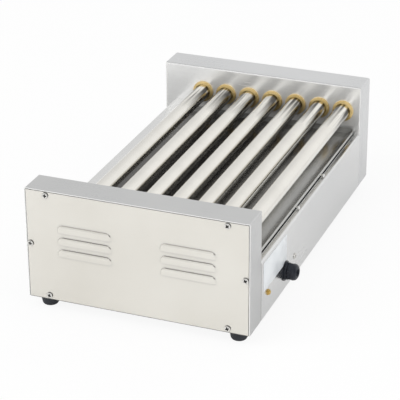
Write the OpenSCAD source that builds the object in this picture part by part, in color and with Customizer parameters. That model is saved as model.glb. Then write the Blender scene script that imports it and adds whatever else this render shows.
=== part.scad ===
// Hot dog roller grill: seven heated rollers between two end housings, driven by a gear train.
// X runs across the rollers, Y along them, Z up. The origin is on the table, under the middle.

/* [Body] */
// Width across the rollers
body_w = 320; // [316:1:340]
// Length from cover to cover
body_l = 540; // [480:10:640]
// Height of the end housings
body_h = 163; // [160:1:180]
// Depth of each end housing
end_d = 45; // [45:1:55]
// Thickness of the steel sheet
sheet = 1.2; // [1:0.1:1.4]
// Outside radius of a folded edge
fold_r = 2.5; // [2:0.5:3.5]
// Height of the feet
foot_h = 17; // [14:1:22]
// Diameter of a foot at its top
foot_d = 26.5; // [22:0.5:28]

/* [End covers] */
// Gap round an end cover
cover_gap = 0.9; // [0.5:0.1:1.2]
// Width of a louvre
louvre_w = 79; // [60:1:84]
// Height of a louvre
louvre_h = 10.5; // [8:0.5:12]
// How far a louvre stands out
louvre_out = 2.5; // [2:0.5:5]
// Spacing of the louvres
louvre_pitch = 17.8; // [15:0.1:20]
// Distance of each group of louvres from the middle
louvre_x = 74; // [60:1:80]
// Height of the top louvre's upper edge above the housing's lower edge
louvre_up = 115.5; // [100:0.5:120]
// Diameter of a cover screw's head
screw_head_d = 8.6; // [7:0.1:9]

/* [Rollers] */
// Diameter of a roller
roller_d = 23; // [21:0.5:24]
// Wall thickness of a roller
roller_wall = 1; // [0.8:0.1:1.5]
// Distance between neighbouring rollers
roller_pitch = 38; // [37:0.5:39]
// Height of the roller axes above the housing's lower edge
roller_up = 123; // [121:1:128]
// Shift of the roller bank from the middle towards the rear panel
bank_shift = 18; // [10:1:20]
// Outside diameter of a bush flange
bush_d = 32.5; // [30:0.5:36]
// How far a bush stands out of the end wall
bush_out = 4; // [3:0.5:8]
// Diameter of a heater rod
heater_d = 10; // [8:0.5:12]

/* [Drive] */
// Gear module
gear_module = 1.25; // [1.2:0.05:1.3]
// Width of a gear
gear_w = 8; // [6:0.5:9]
// Teeth on each roller gear
roller_teeth = 24; // [24:1:25]
// Teeth on each idler gear
idler_teeth = 20; // [19:1:21]
// Teeth on the transfer gear
transfer_teeth = 40; // [36:1:42]
// Teeth on the motor's pinion
pinion_teeth = 18; // [18:1:20]
// Diameter of the motor
motor_d = 56; // [48:1:60]

/* [Side panels] */
// Height of the rear panel's ledge above the housing's lower edge
ledge_up = 87; // [84:1:90]
// Width of the rear panel's ledge
ledge_w = 11; // [9:1:14]
// Height of the front panel's top above the housing's lower edge
front_up = 105; // [102:1:106]
// Height where the front panel starts to slope
slope_up = 84; // [78:1:90]
// How far the front panel's slope runs inwards
slope_in = 19; // [12:1:24]
// Width of the flat strip above the slope
front_ledge_w = 15; // [10:1:16]

/* [Drip tray] */
// Height of the tray's rim above its floor
tray_rim = 4; // [4:0.5:5]
// Height of the tray's end walls
tray_wall = 9.5; // [7:0.5:11]
// Width of the rim's flat top
tray_hem = 5; // [4:0.5:6]
// Distance of each pull pin from the middle
pin_y = 57; // [40:1:90]

/* [Controls and inlet] */
// Height of the controls above the housing's lower edge
control_up = 41; // [38:1:44]
// Diameter of a knob's skirt
knob_d = 38; // [32:1:40]
// How far the knobs and the gland stand out
control_out = 19; // [18:0.5:22]
// Places of the two knobs along the body
knob_y = [-150, -80]; // [-170:1:-60]
// Place of the switch along the body
switch_y = -15; // [-30:1:60]
// Place of the cable gland along the body
gland_y = -128; // [-150:1:-128]
// Height of the gland above the housing's lower edge
gland_up = 27.5; // [27:0.5:34]
// Place of the earth stud along the body
earth_y = -198.5; // [-205:0.5:-180]
// Place of the terminal block's screw along the body
terminal_y = -87; // [-87:0.5:-60]
// Height of the earth stud and the terminal screw above the housing's lower edge
stud_up = 30; // [27:0.5:34]

/* [Hidden] */
$fn = 48;
steel = [0.78, 0.78, 0.77];
cover_steel = [0.88, 0.86, 0.83];
polished = [0.86, 0.85, 0.82];
zinc = [0.62, 0.63, 0.63];
bronze = [0.75, 0.60, 0.33];
brass = [0.80, 0.65, 0.28];
rubber = [0.13, 0.14, 0.16];
black = [0.11, 0.12, 0.14];
nylon = [0.90, 0.88, 0.80];
ceramic = [0.93, 0.91, 0.86];

roller_count = 7;
rollers = [0:roller_count - 1];
idlers = [0:roller_count - 2];
half_w = body_w / 2;
base_z = foot_h;
top_z = foot_h + body_h;
cover_y = -body_l / 2;
wall_y = cover_y + end_d;
joint_gap = 0.15;
run_gap = 0.1;
slide_gap = 0.3;
screw_d = 3.8;
pilot_d = 4;
clear_d = 4.4;
hole_play = 0.4;

roller_z = foot_h + roller_up;
roller_x = [for (i = rollers) bank_shift + (i - (roller_count - 1) / 2) * roller_pitch];
roller_end = wall_y - 21.5;
bead_d = roller_d + 3;
bush_spigot_d = roller_d + 5;
bush_in = 5;
heater_end = wall_y - 33;
rail_y = wall_y - 28;
rail_h = 24;

gear_y = wall_y - 17;
pressure_angle = 20;
backlash = 0.22;
train_centres = gear_module * (roller_teeth + idler_teeth) / 2;
idler_drop = sqrt(pow(train_centres, 2) - pow(roller_pitch / 2, 2));
idler_x = [for (i = idlers) roller_x[i] + roller_pitch / 2];
idler_z = roller_z - idler_drop;
driven_idler = 2;
transfer_x = idler_x[driven_idler];
transfer_z = idler_z - gear_module * (idler_teeth + transfer_teeth) / 2;
pinion_dir = -135;
pinion_centres = gear_module * (transfer_teeth + pinion_teeth) / 2;
pinion_x = transfer_x + pinion_centres * cos(pinion_dir);
pinion_z = transfer_z + pinion_centres * sin(pinion_dir);
down_dir = atan2(-idler_drop, roller_pitch / 2);
up_dir = -down_dir;
stud_d = 8;
shoulder_d = 12;
clip_w = 0.8;
shaft_d = 7;
shaft_in = 16;
motor_pilot_d = 14;
motor_ear_x = motor_d / 2 + 5;

ledge_z = foot_h + ledge_up;
tray_z = ledge_z + 0.5;
tray_sheet = 1;
tray_end = -wall_y - 3;
tray_front = -half_w + slope_in + front_ledge_w + 4;
tray_rear = half_w - ledge_w + 0.5;
pull_z = tray_z + 2.5;
pull_d = 5;
pull_out = 7;

control_z = foot_h + control_up;
inlet_z = foot_h + gland_up;
stud_z = foot_h + stud_up;
spindle_d = 6;
spindle_in = 14;
collar_d = 9.4;
cable_d = 10;
thread_d = 20;
earth_d = 5;
switch_size = [28, 22];
rocker_tilt = 12;
foot_x = half_w - 22;
foot_y = body_l / 2 - 20;
foot_screw_d = 5;
flange_w = 13;
panel_fold_r = 3;
pan_edge = 14;
cover_t = sheet;
screw_drop = 7;
cover_screw_at = [
    for (s = [-1, 1]) each [
        [s * (half_w - 31), top_z - screw_drop],
        [s * (half_w - 6), base_z + body_h / 2],
        [s * (half_w - 31), base_z + screw_drop - 1]
    ]
];

// Extrusion along Y of an outline drawn in X and Z
module along_y(y0, y1) {
    translate([0, y1, 0])
        rotate([90, 0, 0])
            linear_extrude(y1 - y0)
                children();
}

// Extrusion along X of an outline drawn in Y and Z
module along_x(x0, x1) {
    translate([x0, 0, 0])
        rotate([90, 0, 90])
            linear_extrude(x1 - x0)
                children();
}

module rod_y(d, y0, y1) {
    translate([0, y0, 0])
        rotate([-90, 0, 0])
            cylinder(d = d, h = y1 - y0);
}

module rod_x(d, x0, x1) {
    translate([x0, 0, 0])
        rotate([0, 90, 0])
            cylinder(d = d, h = x1 - x0);
}

// Box between two opposite corners
module block(low, high) {
    translate(low)
        cube(high - low);
}

// Rectangle with the corners listed by their signs rounded
module rounded(low, high, r, corners) {
    difference() {
        translate(low)
            square(high - low);
        for (c = corners)
            translate([c.x > 0 ? high.x : low.x, c.y > 0 ? high.y : low.y])
                difference() {
                    translate([-c.x * r / 2, -c.y * r / 2])
                        square(r, center = true);
                    translate([-c.x * r, -c.y * r])
                        circle(r);
                }
    }
}

function unit(v) = v / norm(v);
function left_of(v) = [-v.y, v.x];
function cross_z(a, b) = a.x * b.y - a.y * b.x;
function turned(v, a) = [v.x * cos(a) - v.y * sin(a), v.x * sin(a) + v.y * cos(a)];

// Points of the bend at corner i of a path, an arc of radius r
function bend(path, i, r, steps = 5) =
    let (
        a = unit(path[i] - path[i - 1]),
        b = unit(path[i + 1] - path[i]),
        turn = atan2(cross_z(a, b), a * b),
        start = path[i] - a * r * tan(abs(turn) / 2),
        centre = start + left_of(a) * r * sign(turn)
    )
    [for (k = [0:steps]) centre + turned(start - centre, turn * k / steps)];

// Path with its corners bent, all to one radius or each to its own
function bent(path, r) = [
    path[0],
    for (i = [1:len(path) - 2]) each bend(path, i, is_list(r) ? r[i - 1] : r),
    path[len(path) - 1]
];

// Point i of a path moved to its left by t, mitred at the corners
function beside(path, i, t) =
    let (
        k = max(i, 1),
        n = min(i + 1, len(path) - 1),
        a = left_of(unit(path[k] - path[k - 1])),
        b = left_of(unit(path[n] - path[n - 1]))
    )
    path[i] + (a + b) * t / (1 + a * b);

// Section of a sheet of thickness t, folded along a path, on the path's left
module folded(path, r, t) {
    line = bent(path, r);
    polygon(concat(line, [for (i = [len(line) - 1:-1:0]) beside(line, i, t)]));
}

// Pan head screw standing along Z with its seat at zero
module pan_screw(head_d, head_h, shank_d, shank_l) {
    dome_r = head_d * 0.72;
    slot_l = head_d * 0.56;
    slot_w = head_d * 0.13;
    difference() {
        union() {
            intersection() {
                cylinder(d = head_d, h = head_h);
                translate([0, 0, head_h - dome_r])
                    sphere(dome_r);
            }
            translate([0, 0, -shank_l])
                cylinder(d = shank_d, h = shank_l + 0.2);
        }
        for (a = [0, 90])
            rotate(a)
                translate([-slot_l / 2, -slot_w / 2, head_h / 2])
                    cube([slot_l, slot_w, head_h]);
    }
}

module far_end() {
    mirror([0, 1, 0])
        children();
}

module at_rollers() {
    for (x = roller_x)
        translate([x, 0, roller_z])
            children();
}

// Box with the folded edges of an end housing, taken in by a given amount
module fold_box(inset, open) {
    r = fold_r - inset;
    x = half_w - inset;
    y = wall_y - inset;
    z = top_z - inset;
    intersection() {
        along_y(cover_y - open, y)
            rounded([-x, base_z - open], [x, z], r, [[-1, 1], [1, 1]]);
        along_x(-x, x)
            rounded([cover_y - open, base_z - open], [y, z], r, [[1, 1]]);
        translate([0, 0, base_z - open])
            linear_extrude(z - base_z + open)
                rounded([-x, cover_y - open], [x, y], r, [[-1, 1], [1, 1]]);
    }
}

// Folded housing, open towards its cover, with a return flange for the cover's screws
module end_shell() {
    flange_y = cover_y + cover_t + joint_gap;
    window_x = half_w - flange_w;
    wire_hole_d = 16;
    wire_hole_at = [-half_w + 40, 0, base_z + 30];
    difference() {
        union() {
            difference() {
                fold_box(0, 0);
                fold_box(sheet, 1);
            }
            along_y(flange_y, flange_y + sheet)
                difference() {
                    rounded([-half_w + 0.5, base_z], [half_w - 0.5, top_z - 0.5], fold_r, [[-1, 1], [1, 1]]);
                    translate([-window_x, base_z - 1])
                        square([2 * window_x, body_h - flange_w]);
                }
        }
        at_rollers()
            rod_y(bush_spigot_d, wall_y - 5, wall_y + 1);
        for (p = cover_screw_at)
            translate([p.x, 0, p.y])
                rod_y(pilot_d, flange_y - 1, flange_y + 3);
        translate(wire_hole_at)
            rod_y(wire_hole_d, wall_y - 5, wall_y + 1);
        block(
            [-half_w + sheet, wall_y - 5, base_z - 1],
            [half_w - sheet, wall_y + 1, base_z + sheet + joint_gap]
        );
        for (s = [-1, 1])
            translate([s * (half_w - 1.5 * sheet), wall_y, base_z])
                cube([sheet + 2 * joint_gap, 10, 2 * (pan_edge + joint_gap)], center = true);
    }
}

module near_shell() {
    color(steel)
        difference() {
            end_shell();
            translate([pinion_x, 0, pinion_z]) {
                rod_y(motor_pilot_d + 2, wall_y - 5, wall_y + 1);
                for (s = [-1, 1])
                    translate([s * motor_ear_x, 0, 0])
                        rod_y(clear_d, wall_y - 5, wall_y + 1);
            }
        }
}

module far_shell() {
    color(steel)
        far_end()
            end_shell();
}

// Rod of radius r along X with round ends
module capsule(r, l) {
    rotate([0, 90, 0])
        rotate_extrude()
            intersection() {
                union() {
                    translate([0, -l / 2])
                        square([r, l]);
                    for (s = [-1, 1])
                        translate([0, s * l / 2])
                            circle(r);
                }
                translate([0, -l / 2 - r])
                    square([r, l + 2 * r]);
            }
}

// Part of a capsule that shows in front of the cover above a louvre's slit, its slit at zero
module louvre(shrink, back) {
    bulge_r = (pow(louvre_h, 2) + pow(louvre_out, 2)) / (2 * louvre_out);
    intersection() {
        translate([0, bulge_r - louvre_out, 0])
            capsule(bulge_r - shrink, louvre_w - 2 * louvre_h);
        block([-louvre_w, -2 * louvre_out, 0], [louvre_w, back, 2 * louvre_h]);
    }
}

module at_louvres() {
    for (s = [-1, 1], k = [0:2])
        translate([s * louvre_x, cover_y, base_z + louvre_up - louvre_h - k * louvre_pitch])
            children();
}

// Flat cover with pressed louvres that open downwards
module end_cover() {
    x = half_w - sheet - cover_gap;
    color(cover_steel)
        difference() {
            union() {
                along_y(cover_y, cover_y + cover_t)
                    rounded([-x, base_z], [x, top_z - sheet - cover_gap], 1.5, [[-1, 1], [1, 1]]);
                at_louvres()
                    louvre(0, cover_t / 2);
            }
            at_louvres()
                louvre(sheet, 2 * cover_t);
            for (p = cover_screw_at)
                translate([p.x, 0, p.y])
                    rod_y(clear_d, cover_y - 1, cover_y + 3);
        }
}

module near_cover() {
    end_cover();
}

module far_cover() {
    far_end()
        end_cover();
}

module cover_screws() {
    color(zinc)
        for (side = [0, 1], p = cover_screw_at)
            mirror([0, side, 0])
                translate([p.x, cover_y, p.y])
                    rotate([90, 0, 0])
                        pan_screw(screw_head_d, 2.4, screw_d, 8);
}

// Bottom plate with an upturned edge all round, vent slots and welded nuts for the feet
module base_pan() {
    x = half_w - sheet - joint_gap;
    y = body_l / 2 - cover_t - sheet - 3 * joint_gap;
    slot = [60, 5];
    slot_pitch = 14;
    weld_nut = [9.2, 5];
    color(steel)
        difference() {
            union() {
                difference() {
                    block([-x, -y, base_z], [x, y, base_z + pan_edge]);
                    block(
                        [-x + sheet, -y + sheet, base_z + sheet],
                        [x - sheet, y - sheet, base_z + pan_edge + 1]
                    );
                }
                for (sx = [-1, 1], sy = [-1, 1])
                    translate([sx * foot_x, sy * foot_y, base_z])
                        cylinder(d = weld_nut[0], h = weld_nut[1], $fn = 6);
            }
            for (sx = [-1, 1], sy = [-1, 1])
                translate([sx * foot_x, sy * foot_y, base_z - 1])
                    cylinder(d = foot_screw_d, h = weld_nut[1] + 2);
            for (sx = [-1, 1], k = [-4:4])
                translate([sx * body_w / 5, k * slot_pitch, base_z - 1])
                    linear_extrude(4)
                        square(slot, center = true);
            for (s = [-1, 1], p = cover_screw_at)
                translate([p.x, 0, p.y])
                    rod_y(pilot_d, s * y - 3, s * y + 3);
        }
}

// Flanges at both ends of a side panel, welded to the end walls
module end_flanges(x0, x1, top) {
    for (side = [0, 1])
        mirror([0, side, 0])
            block(
                [x0, wall_y + joint_gap, base_z + pan_edge + 1],
                [x1, wall_y + joint_gap + sheet, top]
            );
}

// Vertical panel whose top folds inwards to a ledge with a turned-down lip
module rear_side_panel() {
    lip = 8;
    path = [
        [half_w, base_z],
        [half_w, ledge_z],
        [half_w - ledge_w, ledge_z],
        [half_w - ledge_w, ledge_z - lip]
    ];
    color(steel)
        difference() {
            union() {
                along_y(wall_y + joint_gap, -wall_y - joint_gap)
                    folded(path, panel_fold_r, sheet);
                end_flanges(half_w - flange_w, half_w - sheet / 2, ledge_z - lip - 4);
            }
            for (hole = [
                [gland_y, inlet_z, thread_d + hole_play],
                [earth_y, stud_z, earth_d + hole_play],
                [terminal_y, stud_z, clear_d]
            ])
                translate([0, hole[0], hole[1]])
                    rod_x(hole[2], half_w - 5, half_w + 1);
        }
}

// Control panel: vertical, then sloping inwards to a flat strip with a turned-down lip
module front_side_panel() {
    lip = 9;
    front_z = foot_h + front_up;
    strip_x = -half_w + slope_in;
    path = [
        [strip_x + front_ledge_w, front_z - lip],
        [strip_x + front_ledge_w, front_z],
        [strip_x, front_z],
        [-half_w, foot_h + slope_up],
        [-half_w, base_z]
    ];
    color(steel)
        difference() {
            union() {
                along_y(wall_y + joint_gap, -wall_y - joint_gap)
                    folded(path, panel_fold_r, sheet);
                end_flanges(-half_w + sheet / 2, -half_w + flange_w, foot_h + slope_up - 4);
            }
            for (y = knob_y)
                translate([0, y, control_z])
                    rod_x(collar_d + hole_play, -half_w - 1, -half_w + 5);
            translate([-half_w, switch_y, control_z])
                cube([10, switch_size.y + hole_play, switch_size.x + hole_play], center = true);
        }
}

// Shallow pan with a hollow rim along its rear side
module drip_tray() {
    t = tray_sheet;
    rim_x = tray_rear - tray_hem;
    path = [
        [tray_front, tray_z + tray_wall],
        [tray_front, tray_z],
        [rim_x, tray_z],
        [rim_x, tray_z + tray_rim - t],
        [tray_rear - t, tray_z + tray_rim - t],
        [tray_rear - t, tray_z + slide_gap]
    ];
    color(zinc)
        difference() {
            union() {
                along_y(-tray_end, tray_end)
                    folded(path, [1.5, 1.5, 0.4, 0.4], t);
                for (s = [-1, 1])
                    along_y(s * (tray_end - t / 2) - t / 2, s * (tray_end - t / 2) + t / 2)
                        rounded([tray_front, tray_z], [tray_rear, tray_z + tray_wall], 3, [[1, 1]]);
            }
            for (s = [-1, 1])
                translate([0, s * pin_y, pull_z])
                    rod_x(2, tray_rear - 3, tray_rear + 1);
        }
}

// Small turned pins that the tray is pulled by
module tray_pull_pins() {
    neck = 2.4;
    head = pull_out / 2;
    crown = 0.8;
    color(polished)
        for (s = [-1, 1])
            translate([tray_rear, s * pin_y, pull_z])
                rotate([0, 90, 0])
                    rotate_extrude()
                        polygon([
                            [0, -2],
                            [1, -2],
                            [1, 0],
                            [neck / 2, 0],
                            [neck / 2, head],
                            [pull_d / 2, head],
                            for (a = [0:15:90])
                                [pull_d / 2 - crown + crown * cos(a), pull_out - crown + crown * sin(a)],
                            [0, pull_out]
                        ]);
}

// Angles on the end walls that carry the tray
module tray_rails() {
    leg = 12;
    rail_z = tray_z - slide_gap;
    path = [[wall_y, rail_z - leg], [wall_y, rail_z], [wall_y + leg, rail_z]];
    color(steel)
        for (side = [0, 1])
            mirror([0, side, 0])
                along_x(tray_front, tray_rear - tray_hem - 2)
                    folded(path, 1.5, -sheet);
}

// Steel tube with a rolled bead inside the far housing that keeps it from creeping
module roller(i) {
    bead_y = -wall_y + bush_in + 2.5;
    color(polished)
        translate([roller_x[i], 0, roller_z])
            difference() {
                union() {
                    rod_y(roller_d, roller_end, -roller_end);
                    rod_y(bead_d, bead_y, bead_y + 2.5);
                }
                rod_y(roller_d - 2 * roller_wall, roller_end - 1, -roller_end + 1);
            }
}

function involute(a) = tan(a) * 180 / PI - a;

// Half the angle that a tooth spans at radius r
function tooth_half(teeth, r) =
    let (
        pitch_r = gear_module * teeth / 2,
        base_r = pitch_r * cos(pressure_angle),
        at_pitch = 90 / teeth - backlash / 2 / pitch_r * 180 / PI
    )
    at_pitch + involute(pressure_angle) - involute(acos(min(1, base_r / r)));

function gear_outline(teeth) =
    let (
        pitch_r = gear_module * teeth / 2,
        tip_r = pitch_r + gear_module,
        root_r = pitch_r - 1.25 * gear_module,
        base_r = max(root_r + 0.1, pitch_r * cos(pressure_angle)),
        radii = [root_r, base_r, (base_r + pitch_r) / 2, pitch_r, (pitch_r + tip_r) / 2, tip_r],
        last = len(radii) - 1
    )
    [
        for (k = [0:teeth - 1], side = [-1, 1], j = [0:last])
            let (r = side < 0 ? radii[j] : radii[last - j], a = 360 * k / teeth + side * tooth_half(teeth, r))
            r * [cos(a), sin(a)]
    ];

// Turn of a gear that meshes with another one, dir being the way from that one to it
function meshed(phase, teeth, own_teeth, dir) =
    dir + 180 + teeth / own_teeth * (dir - phase) - 180 / own_teeth;

function roller_phase(i) =
    i == 0 ? 0 : meshed(idler_phase(i - 1), idler_teeth, roller_teeth, up_dir);

function idler_phase(i) = meshed(roller_phase(i), roller_teeth, idler_teeth, down_dir);

transfer_phase = meshed(idler_phase(driven_idler), idler_teeth, transfer_teeth, -90);
pinion_phase = meshed(transfer_phase, transfer_teeth, pinion_teeth, pinion_dir);

// Spur gear on the Y axis, with a tooth pointing along its phase
module spur_gear(teeth, phase) {
    along_y(gear_y, gear_y + gear_w)
        rotate(phase)
            polygon(gear_outline(teeth));
}

module roller_gear(i) {
    hub_w = 3.5;
    color(zinc)
        translate([roller_x[i], 0, roller_z])
            difference() {
                union() {
                    spur_gear(roller_teeth, roller_phase(i));
                    rod_y(roller_d + 3, gear_y - hub_w, gear_y + 1);
                }
                rod_y(roller_d, gear_y - hub_w - 1, gear_y + gear_w + 1);
            }
}

module idler_gear(i) {
    color(nylon)
        translate([idler_x[i], 0, idler_z])
            difference() {
                spur_gear(idler_teeth, idler_phase(i));
                rod_y(stud_d + 2 * run_gap, gear_y - 1, gear_y + gear_w + 1);
            }
}

module transfer_gear() {
    hole_d = 10;
    hole_r = gear_module * transfer_teeth / 3.4;
    color(nylon)
        translate([transfer_x, 0, transfer_z])
            difference() {
                spur_gear(transfer_teeth, transfer_phase);
                rod_y(stud_d + 2 * run_gap, gear_y - 1, gear_y + gear_w + 1);
                for (a = [0:60:300])
                    translate([hole_r * cos(a), 0, hole_r * sin(a)])
                        rod_y(hole_d, gear_y - 1, gear_y + gear_w + 1);
            }
}

stud_places = concat([for (x = idler_x) [x, idler_z]], [[transfer_x, transfer_z]]);
clip_y = gear_y - 0.5 - clip_w;

// Shouldered studs on the near wall that the idlers and the transfer gear turn on
module gear_studs() {
    color(zinc)
        for (p = stud_places)
            translate([p.x, 0, p.y])
                difference() {
                    union() {
                        rod_y(stud_d, clip_y - 1.5, wall_y - sheet);
                        rod_y(shoulder_d, gear_y + gear_w + slide_gap, wall_y - sheet);
                    }
                    difference() {
                        rod_y(stud_d + 1, clip_y, clip_y + clip_w);
                        rod_y(stud_d - 1.6, clip_y - 1, clip_y + clip_w + 1);
                    }
                }
}

// Open clips in the grooves of the studs
module stud_clips() {
    mouth = stud_d - 2.4;
    color(zinc)
        for (p = stud_places)
            translate([p.x, 0, p.y])
                difference() {
                    rod_y(stud_d + 5, clip_y, clip_y + clip_w);
                    rod_y(stud_d - 1.6, clip_y - 1, clip_y + clip_w + 1);
                    block([-mouth / 2, clip_y - 1, -stud_d], [mouth / 2, clip_y + clip_w + 1, 0]);
                }
}

module motor_pinion() {
    color(zinc)
        translate([pinion_x, 0, pinion_z]) {
            spur_gear(pinion_teeth, pinion_phase);
            rod_y(shaft_d, gear_y - 3, wall_y + shaft_in);
        }
}

// Gear motor against the near wall, under the tray
module drive_motor() {
    gearbox_l = 20;
    can_l = 34;
    ear_t = 3;
    ear_h = 14;
    color(steel)
        translate([pinion_x, 0, pinion_z])
            difference() {
                union() {
                    rod_y(motor_d, wall_y, wall_y + gearbox_l);
                    rod_y(motor_d - 4, wall_y + gearbox_l, wall_y + gearbox_l + can_l);
                    rod_y(motor_pilot_d, wall_y - sheet - 1.5, wall_y + 1);
                    along_y(wall_y, wall_y + ear_t) {
                        square([2 * motor_ear_x, ear_h], center = true);
                        for (s = [-1, 1])
                            translate([s * motor_ear_x, 0])
                                circle(d = ear_h);
                    }
                }
                rod_y(shaft_d + 2 * run_gap, wall_y - sheet - 2, wall_y + shaft_in + 1);
                for (s = [-1, 1])
                    translate([s * motor_ear_x, 0, 0])
                        rod_y(pilot_d, wall_y - 1, wall_y + ear_t + 1);
            }
}

module motor_screws() {
    color(zinc)
        for (s = [-1, 1])
            translate([pinion_x + s * motor_ear_x, wall_y - sheet, pinion_z])
                rotate([90, 0, 0])
                    pan_screw(8, 2.2, screw_d, 7);
}

// Flanged bushes that the rollers turn in, with a chamfered rim
module bushes() {
    chamfer = 1;
    color(bronze)
        at_rollers()
            difference() {
                union() {
                    rod_y(bush_d, wall_y, wall_y + bush_out - chamfer);
                    translate([0, wall_y + bush_out - chamfer, 0])
                        rotate([-90, 0, 0])
                            cylinder(d1 = bush_d, d2 = bush_d - 2 * chamfer, h = chamfer);
                    rod_y(bush_spigot_d, wall_y - sheet - bush_in, wall_y + 1);
                }
                rod_y(roller_d + 2 * run_gap, wall_y - sheet - bush_in - 1, wall_y + bush_out + 1);
            }
}

module near_bushes() {
    bushes();
}

module far_bushes() {
    far_end()
        bushes();
}

// Tubular heaters that stand still inside the rollers, with a terminal pin at each end
module heater_rods() {
    pin_d = 4;
    pin_l = 5;
    color(zinc)
        at_rollers() {
            rod_y(heater_d, heater_end, -heater_end);
            for (side = [0, 1])
                mirror([0, side, 0])
                    rod_y(pin_d, heater_end - pin_l, heater_end);
        }
}

// Strip with its ends folded against the housing's sides, which holds the heater rods
module heater_rail() {
    x = half_w - sheet - joint_gap;
    tab = 16;
    path = [[-x, rail_y + tab], [-x, rail_y], [x, rail_y], [x, rail_y + tab]];
    color(steel)
        difference() {
            translate([0, 0, roller_z - rail_h / 2])
                linear_extrude(rail_h)
                    folded(path, 2.5, sheet);
            at_rollers()
                rod_y(heater_d, rail_y - 2, rail_y + 3);
        }
}

module near_heater_rail() {
    heater_rail();
}

module far_heater_rail() {
    far_end()
        heater_rail();
}

module at_feet() {
    for (sx = [-1, 1], sy = [-1, 1])
        translate([sx * foot_x, sy * foot_y, 0])
            children();
}

foot_seat = foot_h / 2;

// Tapered rubber feet with a recess for their screws
module feet() {
    base_d = foot_d - 5;
    lip_r = 2;
    recess_r = 5.5;
    color(rubber)
        at_feet()
            rotate_extrude()
                difference() {
                    polygon([
                        [0, 0],
                        [base_d / 2 - lip_r, 0],
                        for (a = [-90:15:0]) [base_d / 2 - lip_r + lip_r * cos(a), lip_r + lip_r * sin(a)],
                        [foot_d / 2, foot_h - 3],
                        [foot_d / 2, foot_h],
                        [0, foot_h]
                    ]);
                    square([recess_r, foot_seat]);
                    square([foot_screw_d / 2 + run_gap, foot_h]);
                }
}

module foot_screws() {
    color(zinc)
        at_feet()
            translate([0, 0, foot_seat])
                rotate([180, 0, 0])
                    pan_screw(9.6, 3, foot_screw_d, foot_h - foot_seat + 8);
}

module at_gland() {
    translate([half_w, gland_y, inlet_z])
        children();
}

gland_hex = 24;
gland_base = 1.5;
gland_grip = 4;
nut_seat = gland_base + gland_grip + 0.3;

module hex_x(across, x0, x1) {
    translate([x0, 0, 0])
        rotate([0, 90, 0])
            cylinder(d = across * 2 / sqrt(3), h = x1 - x0, $fn = 6);
}

// Cable gland body: round base, hexagon, and a thread on each side
module gland_body() {
    color(black)
        at_gland()
            difference() {
                union() {
                    rod_x(gland_hex * 2 / sqrt(3) + 1, 0, gland_base);
                    hex_x(gland_hex, gland_base, gland_base + gland_grip);
                    rod_x(thread_d, -12, gland_base);
                    rod_x(thread_d - 2, gland_base, nut_seat + 6);
                }
                rod_x(cable_d, -13, nut_seat + 7);
            }
}

// Dome nut that clamps the cable, narrowing to an open mouth
module gland_nut() {
    hex_l = 6.5;
    mouth_d = 16;
    dome_l = control_out - nut_seat - hex_l;
    step = (gland_hex - mouth_d) / 2;
    color(black)
        at_gland()
            difference() {
                union() {
                    hex_x(gland_hex - 1.5, nut_seat, nut_seat + hex_l);
                    rotate([0, 90, 0])
                        rotate_extrude()
                            polygon([
                                [0, nut_seat + 1],
                                [mouth_d / 2 + step, nut_seat + 1],
                                for (a = [0:15:90])
                                    [mouth_d / 2 + step * cos(a), control_out - dome_l * (1 - sin(a))],
                                [0, control_out]
                            ]);
                }
                rod_x(cable_d, nut_seat - 1, control_out + 1);
                rod_x(thread_d - 2, nut_seat - 1, nut_seat + 6);
            }
}

module gland_locknut() {
    across = 26;
    height = 5;
    color(black)
        at_gland()
            rotate([30, 0, 0])
                difference() {
                    hex_x(across, -sheet - height, -sheet);
                    rod_x(thread_d, -sheet - height - 1, 0);
                }
}

// Brass stud through the rear panel with a washer and a nut outside
module earth_stud() {
    washer = [9.4, 0.6];
    nut = [8, 2.2];
    back_nut = 4;
    stud_in = 14;
    stud_out = 3.6;
    color(brass)
        translate([half_w, earth_y, stud_z]) {
            rod_x(earth_d, -stud_in, stud_out);
            rod_x(washer[0], 0, washer[1]);
            hex_x(nut[0], washer[1] / 2, nut[1]);
            hex_x(nut[0], -sheet - back_nut, -sheet);
        }
}

// Three-way block behind the rear panel
module terminal_block() {
    size = [18, 50, 20];
    pole = 16;
    color(ceramic)
        translate([half_w - sheet - joint_gap - size.x, terminal_y - size.y / 2, stud_z - size.z / 2])
            difference() {
                cube(size);
                for (k = [-1:1]) {
                    translate([size.x / 2, size.y / 2 + k * pole, -1])
                        cylinder(d = 5, h = size.z + 2);
                    for (dz = [5, size.z - 5])
                        translate([0, size.y / 2 + k * pole, dz])
                            rod_x(5, -1, 7);
                }
                for (k = [-0.5, 0.5])
                    translate([-1, size.y / 2 + k * pole - 1, size.z - 4])
                        cube([size.x + 2, 2, 5]);
                translate([size.x - 7, size.y / 2, size.z / 2])
                    rod_x(clear_d, 0, 8);
            }
}

module terminal_screw() {
    color(zinc)
        translate([half_w, terminal_y, stud_z])
            rotate([0, 90, 0])
                pan_screw(screw_head_d, 1.8, screw_d, 7);
}

// Thermostat behind the control panel, with a collar in the panel's hole
module thermostat(y) {
    size = [24, 34, 44];
    inner = -half_w + sheet;
    color(zinc)
        translate([0, y, control_z])
            difference() {
                union() {
                    block(
                        [inner + joint_gap, -size.y / 2, -size.z / 2],
                        [inner + size.x, size.y / 2, size.z / 2]
                    );
                    rod_x(collar_d, -half_w - 0.5, inner + 1);
                }
                rod_x(spindle_d + 2 * run_gap, -half_w - 1, -half_w + spindle_in + 1);
            }
}

module spindle(y) {
    color(zinc)
        translate([0, y, control_z])
            rod_x(spindle_d, -half_w - control_out + 4, -half_w + spindle_in);
}

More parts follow.
